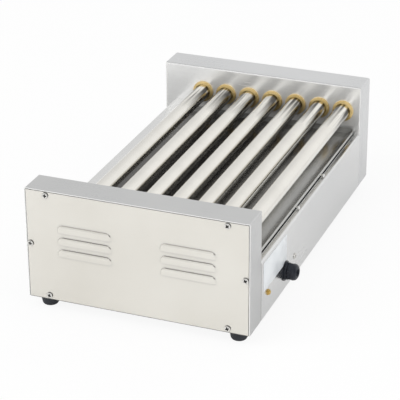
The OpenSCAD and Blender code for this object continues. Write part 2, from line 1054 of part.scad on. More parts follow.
// Knob with a skirt, a tapered grip and a raised pointer
module knob(y) {
    clear = 1.5;
    skirt = 3.5;
    grip_d = knob_d * 0.72;
    depth = control_out - clear;
    color(black)
        translate([-half_w - clear, y, control_z])
            difference() {
                union() {
                    rotate([0, -90, 0])
                        rotate_extrude()
                            polygon([
                                [0, 0],
                                [knob_d / 2, 0],
                                [knob_d / 2, skirt - 1.5],
                                [knob_d / 2 - 1.5, skirt],
                                [grip_d / 2 + 1, skirt + 0.5],
                                [grip_d / 2, skirt + 2],
                                [grip_d / 2 - 1.5, depth - 3.5],
                                [grip_d / 2 - 3, depth - 2],
                                [0, depth - 2]
                            ]);
                    block([-depth, -2.5, -grip_d / 2 + 1], [-skirt, 2.5, knob_d / 2 - 2]);
                }
                rod_x(spindle_d, -depth + 2.5, 1);
            }
}

rocker_half = switch_size.x / 2 - 3.2;
rocker_w = switch_size.y - 6;
rocker_pin = 4;
rocker_x = -half_w + 2;

// Switch housing with a bezel and a well for the rocker
module switch_body() {
    bezel = 2;
    wall = 2;
    well = 13;
    depth = 24;
    color(black)
        translate([0, switch_y, control_z])
            difference() {
                union() {
                    along_x(-half_w - bezel, -half_w)
                        rounded(
                            [-switch_size.y / 2 - bezel, -switch_size.x / 2 - bezel],
                            [switch_size.y / 2 + bezel, switch_size.x / 2 + bezel],
                            2, [[-1, -1], [-1, 1], [1, -1], [1, 1]]
                        );
                    block(
                        [-half_w, -switch_size.y / 2, -switch_size.x / 2],
                        [-half_w + depth, switch_size.y / 2, switch_size.x / 2]
                    );
                }
                block(
                    [-half_w - bezel - 1, -rocker_w / 2 - 0.5, -switch_size.x / 2 + wall],
                    [-half_w + well, rocker_w / 2 + 0.5, switch_size.x / 2 - wall]
                );
                translate([rocker_x, 0, 0])
                    rotate([90, 0, 0])
                        cylinder(d = rocker_pin + 2 * run_gap, h = switch_size.y - 2, center = true);
            }
}

// Dished rocker on its pivot pins, with its lower half pressed in at rest
module switch_rocker() {
    face = 5.5;
    dish = 2;
    color(black)
        translate([rocker_x, switch_y, control_z])
            rotate([0, -rocker_tilt, 0])
                union() {
                    along_y(-rocker_w / 2, rocker_w / 2)
                        polygon([
                            [-face, -rocker_half],
                            [-face + dish, 0],
                            [-face, rocker_half],
                            [-face + 4, rocker_half],
                            [4, 4],
                            [4, -4],
                            [-face + 4, -rocker_half]
                        ]);
                    rod_y(rocker_pin, -switch_size.y / 2 + 1.5, switch_size.y / 2 - 1.5);
                }
}

base_pan();
near_shell();
far_shell();
near_cover();
far_cover();
cover_screws();
rear_side_panel();
front_side_panel();
drip_tray();
tray_pull_pins();
tray_rails();
for (i = rollers) roller(i);
for (i = rollers) roller_gear(i);
for (i = idlers) idler_gear(i);
gear_studs();
stud_clips();
transfer_gear();
motor_pinion();
drive_motor();
motor_screws();
near_bushes();
far_bushes();
heater_rods();
near_heater_rail();
far_heater_rail();
feet();
foot_screws();
gland_body();
gland_nut();
gland_locknut();
earth_stud();
terminal_block();
terminal_screw();
thermostat(knob_y[0]);  // thermostat_1
thermostat(knob_y[1]);  // thermostat_2
spindle(knob_y[0]);  // spindle_1
spindle(knob_y[1]);  // spindle_2
knob(knob_y[0]);  // knob_1
knob(knob_y[1]);  // knob_2
switch_body();
switch_rocker();
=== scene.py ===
import math

import bmesh
import bpy
import numpy as np
from mathutils import Matrix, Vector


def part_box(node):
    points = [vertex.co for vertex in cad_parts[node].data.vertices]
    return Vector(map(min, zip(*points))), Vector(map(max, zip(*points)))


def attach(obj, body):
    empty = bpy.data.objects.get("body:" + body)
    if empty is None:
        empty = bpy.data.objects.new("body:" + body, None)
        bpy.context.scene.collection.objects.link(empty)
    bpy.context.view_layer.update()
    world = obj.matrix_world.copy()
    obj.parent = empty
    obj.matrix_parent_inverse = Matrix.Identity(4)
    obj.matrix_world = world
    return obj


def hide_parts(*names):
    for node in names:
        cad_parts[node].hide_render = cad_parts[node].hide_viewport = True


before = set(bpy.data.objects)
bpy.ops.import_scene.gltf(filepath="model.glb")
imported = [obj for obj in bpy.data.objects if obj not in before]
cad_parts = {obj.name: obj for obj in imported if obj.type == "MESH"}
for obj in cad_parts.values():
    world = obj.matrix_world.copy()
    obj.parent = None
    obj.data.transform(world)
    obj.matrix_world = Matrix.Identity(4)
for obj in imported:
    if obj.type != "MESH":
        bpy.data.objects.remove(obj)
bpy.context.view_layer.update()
mm = 0.001


# Camera: angles in degrees, place in metres, lens and sensor in mm
cameraSet = {
    "place": (0.8134, -2.1108, 1.1492),
    "azimuth": 21.42,
    "elevation": 25.56,
    "roll": -0.34,
    "lens": 154.87,
    "sensor": 36.0,
}


# Back = (sin turn cos lift, -cos turn cos lift, sin lift), right is level, up is their cross product, and the
# roll turns right and up about back
def addCamera(s):
    turn, lift, roll = np.radians([s["azimuth"], s["elevation"], s["roll"]])
    back = np.array([np.sin(turn) * np.cos(lift), -np.cos(turn) * np.cos(lift), np.sin(lift)])
    right = np.array([np.cos(turn), np.sin(turn), 0.0])
    up = np.cross(back, right)
    across = np.cos(roll) * right + np.sin(roll) * up
    upward = np.cos(roll) * up - np.sin(roll) * right
    data = bpy.data.cameras.new("camera")
    data.lens = s["lens"]
    data.sensor_width = s["sensor"]
    camera = bpy.data.objects.new("camera", data)
    axes = np.eye(4)
    axes[:3, :3] = np.column_stack([across, upward, back])
    axes[:3, 3] = s["place"]
    camera.matrix_world = Matrix(axes.tolist())
    bpy.context.scene.collection.objects.link(camera)
    bpy.context.scene.camera = camera


addCamera(cameraSet)
bpy.context.scene.view_settings.view_transform = "Standard"
print("camera placed")


# Ranges that the finishes share: where noise mostly lies, and what turns into a factor from zero to one
factorSet = {
    "noise": (0.3, 0.7),        # value of the noise
    "edgeLean": (0.985, 0.80),  # cosine between the rounded and the true normal
    "square": (0.6, 0.8),       # size of the normal along an axis
    "foldShade": (0.97, 0.60),  # share of the near sky that is open
}


# One shader node: a plain value is set on its socket, an output is linked to it
def addNode(tree, kind, sockets, **settings):
    node = tree.nodes.new(kind)
    for key, value in settings.items():
        setattr(node, key, value)
    for key, value in sockets.items():
        if isinstance(value, bpy.types.NodeSocket):
            tree.links.new(value, node.inputs[key])
        else:
            node.inputs[key].default_value = value
    return node


# Material with a Principled shader; plain values go straight onto its sockets
def startMaterial(name, **sockets):
    material = bpy.data.materials.new(name)
    material.use_nodes = True
    shader = material.node_tree.nodes["Principled BSDF"]
    for key, value in sockets.items():
        shader.inputs[key].default_value = value
    return material, material.node_tree, shader


# Noise on Object coordinates, with its own number of ripples per metre along X, Y and Z
def rippled(tree, perMetre, detail=2.0):
    coords = addNode(tree, "ShaderNodeTexCoord", {})
    placed = addNode(tree, "ShaderNodeMapping", {"Vector": coords.outputs["Object"], "Scale": perMetre})
    sockets = {"Vector": placed.outputs["Vector"], "Scale": 1.0, "Detail": detail}
    return addNode(tree, "ShaderNodeTexNoise", sockets).outputs["Fac"]


# Straight-line change of a value from one range to another
def remap(tree, value, fromLow, fromHigh, toLow, toHigh):
    sockets = {"Value": value, "From Min": fromLow, "From Max": fromHigh, "To Min": toLow, "To Max": toHigh}
    return addNode(tree, "ShaderNodeMapRange", sockets).outputs["Result"]


# Colour read off a ramp of two colours between two stops
def tinted(tree, value, colors, stops=factorSet["noise"]):
    ramp = addNode(tree, "ShaderNodeValToRGB", {"Fac": value})
    for element, stop, color in zip(ramp.color_ramp.elements, stops, colors):
        element.position = stop
        element.color = (*color, 1.0)
    return ramp.outputs["Color"]


# Sum of two values
def added(tree, a, b):
    return addNode(tree, "ShaderNodeMath", {0: a, 1: b}, operation="ADD").outputs[0]


# Product of two values
def times(tree, a, b):
    return addNode(tree, "ShaderNodeMath", {0: a, 1: b}, operation="MULTIPLY").outputs[0]


# Larger of two values
def brighter(tree, a, b):
    return addNode(tree, "ShaderNodeMath", {0: a, 1: b}, operation="MAXIMUM").outputs[0]


# Size of a value without its sign
def sizeOf(tree, value):
    return addNode(tree, "ShaderNodeMath", {0: value}, operation="ABSOLUTE").outputs[0]


# Noise spread over a range: its usual lowest and highest values become the two ends
def wandering(tree, noise, low, high):
    return remap(tree, noise, *factorSet["noise"], low, high)


# Place on a piece, as X, Y and Z of its Object coordinates
def placeParts(tree):
    place = addNode(tree, "ShaderNodeTexCoord", {}).outputs["Object"]
    return addNode(tree, "ShaderNodeSeparateXYZ", {"Vector": place}).outputs


# Fine relief: the normal leans with the slope of a height, which is a value times a depth
def addBump(tree, shader, height, strength, depth):
    bump = addNode(tree, "ShaderNodeBump", {"Strength": strength, "Distance": depth, "Height": height})
    tree.links.new(bump.outputs["Normal"], shader.inputs["Normal"])


# One near an edge and zero on the flat: how far the rounded-off normal leans away from the true one
def nearEdge(tree, radius):
    soft = addNode(tree, "ShaderNodeBevel", {"Radius": radius}, samples=6)
    true = addNode(tree, "ShaderNodeNewGeometry", {})
    sockets = {0: soft.outputs["Normal"], 1: true.outputs["Normal"]}
    lean = addNode(tree, "ShaderNodeVectorMath", sockets, operation="DOT_PRODUCT")
    return remap(tree, lean.outputs["Value"], *factorSet["edgeLean"], 0.0, 1.0)


# Colour a + factor * (b - a); each of the two may be plain or an output
def mixed(tree, factor, a, b):
    mix = addNode(tree, "ShaderNodeMix", {}, data_type="RGBA")
    for slot, value in ((0, factor), (6, a), (7, b)):
        if isinstance(value, bpy.types.NodeSocket):
            tree.links.new(value, mix.inputs[slot])
        else:
            mix.inputs[slot].default_value = (*value, 1.0)
    return mix.outputs[2]


# Zero where the tray floor takes painted shade under the rollers, rising to one at its open edge: X between
# two places, with a cloudy border that moves outwards towards the far end
def cleanPart(tree, cloud, s):
    parts = placeParts(tree)
    wander = wandering(tree, cloud, -s["shadeWander"], s["shadeWander"])
    x = added(tree, parts["X"], remap(tree, parts["Y"], *s["shadeEnd"], 0.0, -s["shadeGrowth"]))
    return remap(tree, added(tree, x, wander), *s["shadeEdge"], 0.0, 1.0)


# One on faces square to an axis, either way round, and zero on the others: the size of the normal along it
def squareTo(tree, axis):
    normal = addNode(tree, "ShaderNodeNewGeometry", {}).outputs["Normal"]
    along = addNode(tree, "ShaderNodeSeparateXYZ", {"Vector": normal}).outputs[axis]
    return remap(tree, sizeOf(tree, along), *factorSet["square"], 0.0, 1.0)


# One deep in a fold, where shade is painted grey, and zero on open sheet: the share of the near sky that the
# piece itself hides
def inFold(tree, reach):
    hidden = addNode(tree, "ShaderNodeAmbientOcclusion", {"Distance": reach}, samples=8, only_local=True)
    return remap(tree, hidden.outputs["AO"], *factorSet["foldShade"], 0.0, 1.0)


# How grain and clouds share the tone of sheet steel, how much of an edge takes a painted highlight, and how
# far the grain moves the roughness and the surface
sheetMix = {
    "cloud": 0.7, "grain": 0.3, "stops": (0.32, 0.68), "edge": 0.6, "grainRough": 0.03, "relief": 0.1 * mm,
}


# Sheet steel: tone = cloud share * clouds + grain share * grain along one axis, with a painted highlight on
# edges; where a sheet names them, painted shade under rollers and in folds, and painted light on skirts and
# upright walls
def sheetSteel(name, s):
    material, tree, shader = startMaterial(name, Metallic=s.get("metal", 1.0))
    mix = sheetMix
    grain = rippled(tree, s["grain"], 3.0)
    cloud = rippled(tree, (s["cloud"],) * 3, 4.0)
    edge = nearEdge(tree, s["edge"])
    tone = added(tree, times(tree, cloud, mix["cloud"]), times(tree, grain, mix["grain"]))
    body = tinted(tree, tone, (s["dark"], s["light"]), mix["stops"])
    # Painted shade: the tray floor under the rollers takes the dark tone; upright faces keep their own
    if "shadeUnderRollers" in s:
        upright = remap(tree, squareTo(tree, "Z"), 0.0, 1.0, 1.0, 0.0)
        body = mixed(tree, brighter(tree, cleanPart(tree, cloud, s), upright), s["shadeUnderRollers"], body)
    # Painted light: faces square to X take the lighter skirt tone
    if "skirt" in s:
        body = mixed(tree, squareTo(tree, "X"), body, s["skirt"])
    # Painted light: faces square to Y take a lighter, less metallic, smoother tone
    if "wall" in s:
        wall = squareTo(tree, "Y")
        body = mixed(tree, wall, body, tinted(tree, tone, s["wall"], mix["stops"]))
        tree.links.new(remap(tree, wall, 0.0, 1.0, s["metal"], s["wallMetal"]), shader.inputs["Metallic"])
    # Painted highlight: edges take a lighter tone of their own
    body = mixed(tree, times(tree, edge, mix["edge"]), body, s["edgeHighlight"])
    # Painted shade: folds take a grey tone by how much of the near sky they hide
    if "folds" in s:
        body = mixed(tree, inFold(tree, s["foldShadeReach"]), body, s["folds"])
    tree.links.new(body, shader.inputs["Base Color"])
    grainRough = wandering(tree, grain, -mix["grainRough"], mix["grainRough"])
    rough = added(tree, wandering(tree, cloud, *s["rough"]), grainRough)
    if "wall" in s:
        rough = added(tree, rough, times(tree, wall, s["wallRougher"]))
    tree.links.new(rough, shader.inputs["Roughness"])
    addBump(tree, shader, grain, s["bump"], mix["relief"])
    return material


# In these looks the lighter edge tone is a highlight painted on edges
nearShellLook = {
    "dark": (0.56, 0.565, 0.565), "light": (0.63, 0.63, 0.625), "edgeHighlight": (0.80, 0.80, 0.79),
    "grain": (6, 900, 900), "cloud": 9, "edge": 1.2 * mm, "rough": (0.26, 0.34), "bump": 0.06,
    # The wall tones are painted light on faces square to Y
    "metal": 0.8, "wall": ((0.88, 0.88, 0.87), (0.96, 0.96, 0.95)), "wallMetal": 0.5, "wallRougher": -0.08,
}
# Painted light: the far housing takes a lighter copy of the same steel's tone
farShellLook = {**nearShellLook, "dark": (0.65, 0.655, 0.66), "light": (0.73, 0.735, 0.74)}
coverLook = {
    "dark": (0.755, 0.73, 0.67), "light": (0.84, 0.82, 0.765), "edgeHighlight": (0.88, 0.87, 0.84),
    "grain": (6, 900, 900), "cloud": 7, "edge": 1.0 * mm, "rough": (0.18, 0.25), "bump": 0.05,
    # The fold tone is painted shade in the folds round the louvres
    "metal": 0.75, "folds": (0.50, 0.49, 0.47), "foldShadeReach": 5 * mm,
}
panelLook = {
    "dark": (0.70, 0.705, 0.705), "light": (0.79, 0.79, 0.785), "edgeHighlight": (0.76, 0.76, 0.75),
    "grain": (900, 6, 900), "cloud": 8, "edge": 1.2 * mm, "rough": (0.18, 0.26), "bump": 0.05,
}
controlPanelLook = {
    "dark": (0.74, 0.74, 0.735), "light": (0.82, 0.82, 0.81), "edgeHighlight": (0.86, 0.86, 0.85),
    "grain": (900, 6, 900), "cloud": 8, "edge": 1.2 * mm, "rough": (0.20, 0.28), "bump": 0.05,
}
trayLook = {
    "dark": (0.43, 0.43, 0.415), "light": (0.50, 0.50, 0.485), "edgeHighlight": (0.70, 0.69, 0.66),
    "grain": (300, 8, 300), "cloud": 14, "edge": 0.8 * mm, "rough": (0.15, 0.21), "bump": 0.0,
    # Dark tone and border of the painted shade on the tray floor between the rollers
    "shadeUnderRollers": (0.09, 0.087, 0.082), "shadeEdge": (0.080, 0.150), "shadeEnd": (0.06, 0.18),
    # The skirt tone is painted light on the tray's outer faces square to X
    "shadeGrowth": 0.028, "shadeWander": 0.004, "metal": 0.7, "skirt": (0.62, 0.62, 0.605),
}
bracketLook = {
    "dark": (0.42, 0.42, 0.42), "light": (0.52, 0.52, 0.52), "edgeHighlight": (0.7, 0.7, 0.7),
    "grain": (8, 700, 700), "cloud": 16, "edge": 0.8 * mm, "rough": (0.34, 0.46), "bump": 0.10,
}


# One at both ends of a piece that lies along Y, falling to zero towards its middle, times streaks along it,
# where a dark reflection is painted; the shift makes it reach further from the far end than from the near one
def endPart(tree, s):
    out = sizeOf(tree, added(tree, placeParts(tree)["Y"], s["endReflectionShift"]))
    streak = remap(tree, rippled(tree, s["streak"]), *s["streakEdge"], 0.0, 1.0)
    return times(tree, remap(tree, out, *s["endReflectionFrom"], 0.0, 1.0), streak)


# How rings and clouds share the tone of turned metal, and how far the rings move the roughness and surface
turnedMix = {"cloud": 0.75, "rings": 0.25, "ringsRough": 0.02, "relief": 0.1 * mm}


# Turned or drawn metal: tone = cloud share * clouds + ring share * rings round the axis that it was turned on
def turnedMetal(name, s):
    material, tree, shader = startMaterial(name, Metallic=s.get("metal", 1.0))
    mix = turnedMix
    rings = rippled(tree, s["rings"], 2.0)
    cloud = rippled(tree, (s["cloud"],) * 3, 3.0)
    tone = added(tree, times(tree, cloud, mix["cloud"]), times(tree, rings, mix["rings"]))
    body = tinted(tree, tone, (s["dark"], s["light"]))
    # Painted reflection: dark streaks near the ends
    if "darkEndReflection" in s:
        body = mixed(tree, endPart(tree, s), body, s["darkEndReflection"])
    tree.links.new(body, shader.inputs["Base Color"])
    ringsRough = wandering(tree, rings, -mix["ringsRough"], mix["ringsRough"])
    tree.links.new(added(tree, wandering(tree, cloud, *s["rough"]), ringsRough), shader.inputs["Roughness"])
    addBump(tree, shader, rings, s["bump"], mix["relief"])
    return material


rollerLook = {
    "dark": (0.78, 0.76, 0.71), "light": (0.85, 0.83, 0.78),
    "rings": (3, 300, 3), "cloud": 25, "rough": (0.16, 0.21), "bump": 0.01,
    # Dark reflection painted in streaks near the roller ends
    "darkEndReflection": (0.085, 0.081, 0.076), "endReflectionFrom": (0.150, 0.225), "endReflectionShift": 0.022,
    "streak": (150, 4, 150), "streakEdge": (0.42, 0.56),
}
pinLook = {
    "dark": (0.82, 0.82, 0.81), "light": (0.90, 0.90, 0.89),
    "rings": (900, 20, 20), "cloud": 60, "rough": (0.08, 0.14), "bump": 0.04,
}
platedLook = {
    "dark": (0.52, 0.53, 0.53), "light": (0.68, 0.69, 0.69),
    "rings": (60, 400, 60), "cloud": 220, "rough": (0.18, 0.30), "bump": 0.05,
}
# Dark tone of sheared sheet edges, and painted shade along the bottom strip of a cover
cutEdgeAndShadeLook = {
    "dark": (0.16, 0.155, 0.15), "light": (0.26, 0.255, 0.25),
    "rings": (400, 400, 30), "cloud": 120, "rough": (0.40, 0.55), "bump": 0.05,
}
# Painted shade: near black for screw recesses and the sides of the cover screws' heads
recessShadeLook = {
    "dark": (0.05, 0.05, 0.05), "light": (0.10, 0.10, 0.10),
    "rings": (200, 200, 200), "cloud": 260, "rough": (0.35, 0.50), "bump": 0.03,
}
screwLook = {
    "dark": (0.66, 0.65, 0.62), "light": (0.82, 0.81, 0.78),
    "rings": (200, 200, 200), "cloud": 260, "rough": (0.10, 0.18), "bump": 0.03,
}
gearSteelLook = {
    "dark": (0.36, 0.36, 0.36), "light": (0.50, 0.50, 0.49),
    "rings": (40, 600, 40), "cloud": 120, "rough": (0.25, 0.38), "bump": 0.10,
}
bronzeLook = {
    "dark": (0.60, 0.42, 0.15), "light": (0.82, 0.63, 0.30), "metal": 0.45,
    "rings": (30, 900, 30), "cloud": 60, "rough": (0.22, 0.34), "bump": 0.06,
}
brassLook = {
    "dark": (0.58, 0.40, 0.11), "light": (0.76, 0.57, 0.22),
    "rings": (900, 40, 40), "cloud": 300, "rough": (0.18, 0.30), "bump": 0.08,
}
heaterLook = {
    "dark": (0.20, 0.16, 0.13), "light": (0.34, 0.30, 0.27),
    "rings": (20, 300, 20), "cloud": 90, "rough": (0.35, 0.55), "bump": 0.12,
}
canLook = {
    "dark": (0.40, 0.41, 0.41), "light": (0.55, 0.56, 0.55),
    "rings": (30, 250, 30), "cloud": 110, "rough": (0.28, 0.42), "bump": 0.08,
}


# Moulded plastic, rubber or ceramic: tone and roughness follow clouds, and a fine pebbled skin is the relief
def moulded(name, s, relief=0.2 * mm):
    material, tree, shader = startMaterial(name, **{"Specular IOR Level": s["gloss"]})
    skin = rippled(tree, (s["skin"],) * 3, 2.0)
    cloud = rippled(tree, (s["cloud"],) * 3, 3.0)
    tree.links.new(tinted(tree, cloud, (s["dark"], s["light"])), shader.inputs["Base Color"])
    tree.links.new(wandering(tree, cloud, *s["rough"]), shader.inputs["Roughness"])
    addBump(tree, shader, skin, s["bump"], relief)
    return material


glandLook = {
    "dark": (0.010, 0.013, 0.020), "light": (0.018, 0.022, 0.032),
    "skin": 1500, "cloud": 90, "rough": (0.26, 0.38), "bump": 0.08, "gloss": 0.35,
}
rubberLook = {
    "dark": (0.018, 0.021, 0.027), "light": (0.030, 0.034, 0.042),
    "skin": 1800, "cloud": 120, "rough": (0.45, 0.62), "bump": 0.18, "gloss": 0.4,
}
knobLook = {
    "dark": (0.014, 0.014, 0.016), "light": (0.022, 0.022, 0.025),
    "skin": 2000, "cloud": 100, "rough": (0.28, 0.40), "bump": 0.10, "gloss": 0.5,
}
switchLook = {
    "dark": (0.016, 0.016, 0.018), "light": (0.026, 0.026, 0.029),
    "skin": 1600, "cloud": 120, "rough": (0.22, 0.34), "bump": 0.06, "gloss": 0.5,
}
nylonLook = {
    "dark": (0.70, 0.66, 0.54), "light": (0.80, 0.77, 0.66),
    "skin": 900, "cloud": 80, "rough": (0.42, 0.55), "bump": 0.08, "gloss": 0.4,
}
ceramicLook = {
    "dark": (0.76, 0.73, 0.66), "light": (0.86, 0.83, 0.76),
    "skin": 1200, "cloud": 90, "rough": (0.55, 0.72), "bump": 0.15, "gloss": 0.4,
}
labelLook = {
    "dark": (0.83, 0.865, 0.89), "light": (0.91, 0.94, 0.96),
    "skin": 500, "cloud": 45, "rough": (0.30, 0.42), "bump": 0.05, "gloss": 0.5,
}
inkLook = {
    "dark": (0.70, 0.70, 0.68), "light": (0.82, 0.82, 0.80),
    "skin": 1500, "cloud": 200, "rough": (0.50, 0.65), "bump": 0.05, "gloss": 0.3,
}
darkInkLook = {
    "dark": (0.020, 0.021, 0.024), "light": (0.034, 0.035, 0.038),
    "skin": 1500, "cloud": 200, "rough": (0.50, 0.65), "bump": 0.05, "gloss": 0.3,
}

finish = {
    "nearShell": sheetSteel("nearShellSheet", nearShellLook),
    "farShell": sheetSteel("farShellSheet", farShellLook),
    "cover": sheetSteel("coverSheet", coverLook),
    "panel": sheetSteel("panelSheet", panelLook),
    "controlPanel": sheetSteel("controlPanelSheet", controlPanelLook),
    "tray": sheetSteel("traySheet", trayLook),
    "bracket": sheetSteel("bracketSheet", bracketLook),
    "roller": turnedMetal("rollerPolish", rollerLook),
    "pin": turnedMetal("pinPolish", pinLook),
    "plated": turnedMetal("zincPlate", platedLook),
    "screw": turnedMetal("screwPlate", screwLook),
    "recess": turnedMetal("screwRecessShade", recessShadeLook),
    "cutEdgeAndShade": turnedMetal("cutEdgeAndShade", cutEdgeAndShadeLook),
    "gearSteel": turnedMetal("cutSteel", gearSteelLook),
    "bronze": turnedMetal("bushBronze", bronzeLook),
    "brass": turnedMetal("studBrass", brassLook),
    "heater": turnedMetal("heaterSheath", heaterLook),
    "can": turnedMetal("motorCan", canLook),
    "gland": moulded("glandNylon", glandLook),
    "rubber": moulded("footRubber", rubberLook),
    "knob": moulded("knobPlastic", knobLook),
    "switch": moulded("switchPlastic", switchLook),
    "nylon": moulded("gearNylon", nylonLook),
    "ceramic": moulded("blockCeramic", ceramicLook),
    "label": moulded("labelFilm", labelLook),
    "ink": moulded("paleInk", inkLook),
    "darkInk": moulded("darkInk", darkInkLook),
}
print("finishes:", len(finish))

# Which finish each CAD node takes, by the start of its name
nodeFinish = {
    "near_shell": "nearShell", "far_shell": "farShell", "near_cover": "cover", "far_cover": "cover",
    "base_pan": "bracket", "rear_side_panel": "panel", "front_side_panel": "controlPanel",
    "drip_tray": "tray", "tray_rails": "bracket", "tray_pull_pins": "pin",
    "cover_screws": "plated", "motor_screws": "plated", "foot_screws": "plated", "terminal_screw": "plated",
    "roller_gear": "gearSteel", "roller_": "roller", "idler_gear": "nylon", "transfer_gear": "nylon",
    "motor_pinion": "gearSteel", "drive_motor": "can", "gear_studs": "gearSteel", "stud_clips": "plated",
    "near_bushes": "bronze", "far_bushes": "bronze", "heater_rods": "heater",
    "near_heater_rail": "bracket", "far_heater_rail": "bracket", "feet": "rubber",
    "gland": "gland", "earth_stud": "brass", "terminal_block": "ceramic", "thermostat": "can",
    "spindle": "plated", "knob": "knob", "switch": "switch",
}


# Each node takes the finish of the first entry that its name starts with
def dressNodes():
    for name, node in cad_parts.items():
        key = next(k for k in nodeFinish if name.startswith(k))
        node.data.materials.clear()
        node.data.materials.append(finish[nodeFinish[key]])


dressNodes()
print("nodes dressed")


# Corner numbers of the quads of a grid of points, wrapped round where asked
def gridQuads(rows, cols, wrapRows=False, wrapCols=False):
    a, b = np.meshgrid(np.arange(rows - (not wrapRows)), np.arange(cols - (not wrapCols)), indexing="ij")
    c, d = (a + 1) % rows, (b + 1) % cols
    return np.stack([a * cols + b, a * cols + d, c * cols + d, c * cols + b], -1).reshape(-1, 4)


# Outline with its corners rounded: each corner P gives way to the curve (1-t)^2 A + 2t(1-t) P + t^2 B,
# where A and B lie a given reach away from it along its two sides, or just short of half-way if that is less
def softened(outline, reach, closed=False, steps=6, most=0.48):
    p = np.asarray(outline, float)
    loop = np.concatenate([p[-1:], p, p[:1]]) if closed else p
    corner = loop[1:-1]
    back, on = loop[:-2] - corner, loop[2:] - corner
    backLength = np.linalg.norm(back, axis=1, keepdims=True)
    onLength = np.linalg.norm(on, axis=1, keepdims=True)
    r = np.minimum(np.reshape(reach, (-1, 1)), most * np.minimum(backLength, onLength))
    start, end = corner + back / backLength * r, corner + on / onLength * r
    t = np.linspace(0.0, 1.0, steps)[None, :, None]
    curve = (1 - t) ** 2 * start[:, None] + 2 * t * (1 - t) * corner[:, None] + t ** 2 * end[:, None]
    curve = curve.reshape(-1, 2)
    return curve if closed else np.concatenate([p[:1], curve, p[-1:]])


# Axis, and the two directions square to it that angles are measured in
def axisFrame(axis):
    axis = np.asarray(axis, float)
    side = np.roll(axis, 1)
    return axis, side, np.cross(axis, side)


# Angles of one full turn in equal steps
def turnAngles(segments):
    return 2 * np.pi * np.arange(segments) / segments


# Turned shape: point = centre + along * axis + radius * (cos a * side + sin a * other), for rows of along
# and radius and columns of the angle a; the radius may have a column for each angle
def turned(along, radius, centre, axis, segments=64, closed=False):
    axis, side, other = axisFrame(axis)
    a = turnAngles(segments)
    spoke = np.outer(np.cos(a), side) + np.outer(np.sin(a), other)
    radius = np.broadcast_to(np.reshape(radius, (len(along), -1)), (len(along), segments))
    middles = np.asarray(centre) + np.multiply.outer(np.asarray(along), axis)
    points = middles[:, None] + radius[..., None] * spoke
    return points.reshape(-1, 3), gridQuads(len(along), segments, closed, True)


# Rows of a plain turned stretch, its radius repeated for every angle
def roundRows(profile, a):
    profile = np.asarray(profile, float)
    return profile[:, 0], np.repeat(profile[:, 1:], a.size, axis=1)


# Radius of a hexagon at angle a: half its width over the cosine of the angle from the nearest flat's middle
def hexRadius(across, a):
    return across / 2 / np.cos((a + np.pi / 6) % (np.pi / 3) - np.pi / 6)


# Cut on a hexagon's corners in mm: the cone starts just outside the flats, and passes inside the corners at
# a share of the cut and at its end
hexSet = {"overFlat": 0.1, "underCorner": (0.75, 0.15), "share": 0.35}


# Rows of a hexagon between two levels: its radius, capped by a cone that cuts the corners back at each end
def hexRows(across, low, high, a, cut=1.0):
    corner = across / np.sqrt(3)
    flat = across / 2 + hexSet["overFlat"]
    nearCorner, softCorner = (corner - under for under in hexSet["underCorner"])
    part = hexSet["share"] * cut
    level = np.array([low, low + part, low + cut, high - cut, high - part, high])
    cap = np.array([flat, nearCorner, softCorner, softCorner, nearCorner, flat])
    return level, np.minimum(hexRadius(across, a)[None, :], cap[:, None])


# One turned shape from stretches of rows in mm that follow each other along the axis
def stacked(stretches, centre, axis, segments, closed=False):
    along = np.concatenate([level for level, radius in stretches]) * mm
    radius = np.concatenate([radius for level, radius in stretches]) * mm
    return turned(along, radius, centre, axis, segments, closed)


# Straight-sided solid: a closed outline carried along an axis, drawn in by an inset along its own normals
# at each level, and closed at both ends by its middle point
def carried(outline, levels, insets, centre, axis):
    axis, side, other = axisFrame(axis)
    tangent = np.roll(outline, -1, axis=0) - np.roll(outline, 1, axis=0)
    normal = np.stack([tangent[:, 1], -tangent[:, 0]], -1) / np.linalg.norm(tangent, axis=1, keepdims=True)
    flat = outline[None] - np.reshape(insets, (-1, 1, 1)) * normal[None]
    middle = np.broadcast_to(outline.mean(axis=0), (1, *outline.shape))
    flat = np.concatenate([middle, flat, middle])
    level = np.concatenate([levels[:1], levels, levels[-1:]])
    points = flat[..., :1] * side + flat[..., 1:] * other + level[:, None, None] * axis + np.asarray(centre)
    return points.reshape(-1, 3), gridQuads(len(level), len(outline), False, True)


# Levels and insets of a solid of a given height whose two rims are rounded: a quarter circle at each end
def roundedLevels(low, high, r, steps=5):
    a = np.linspace(0.0, np.pi / 2, steps)
    levels = np.concatenate([low + r * (1 - np.sin(a)[::-1]), high - r * (1 - np.sin(a))])
    insets = np.concatenate([r * (1 - np.cos(a)[::-1]), r * (1 - np.cos(a))])
    return levels, insets


# Rectangle with rounded corners, as a closed outline that runs anticlockwise
def roundedBox(low, high, r, steps=6):
    (x0, y0), (x1, y1) = low, high
    return softened([(x0, y0), (x1, y0), (x1, y1), (x0, y1)], r, True, steps)


# Several shapes as one: their points in a row, their corner numbers moved along
def joined(shapes):
    starts = np.cumsum([0] + [len(points) for points, quads in shapes[:-1]])
    points = np.concatenate([points for points, quads in shapes])
    return points, np.concatenate([quads + start for start, (p, quads) in zip(starts, shapes)])


# Object of a mesh, on its body, with the nodes that it stands for
def placePiece(name, mesh, body, replaces=()):
    piece = bpy.data.objects.new(name, mesh)
    bpy.context.scene.collection.objects.link(piece)
    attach(piece, body)
    if replaces:
        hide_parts(*replaces)


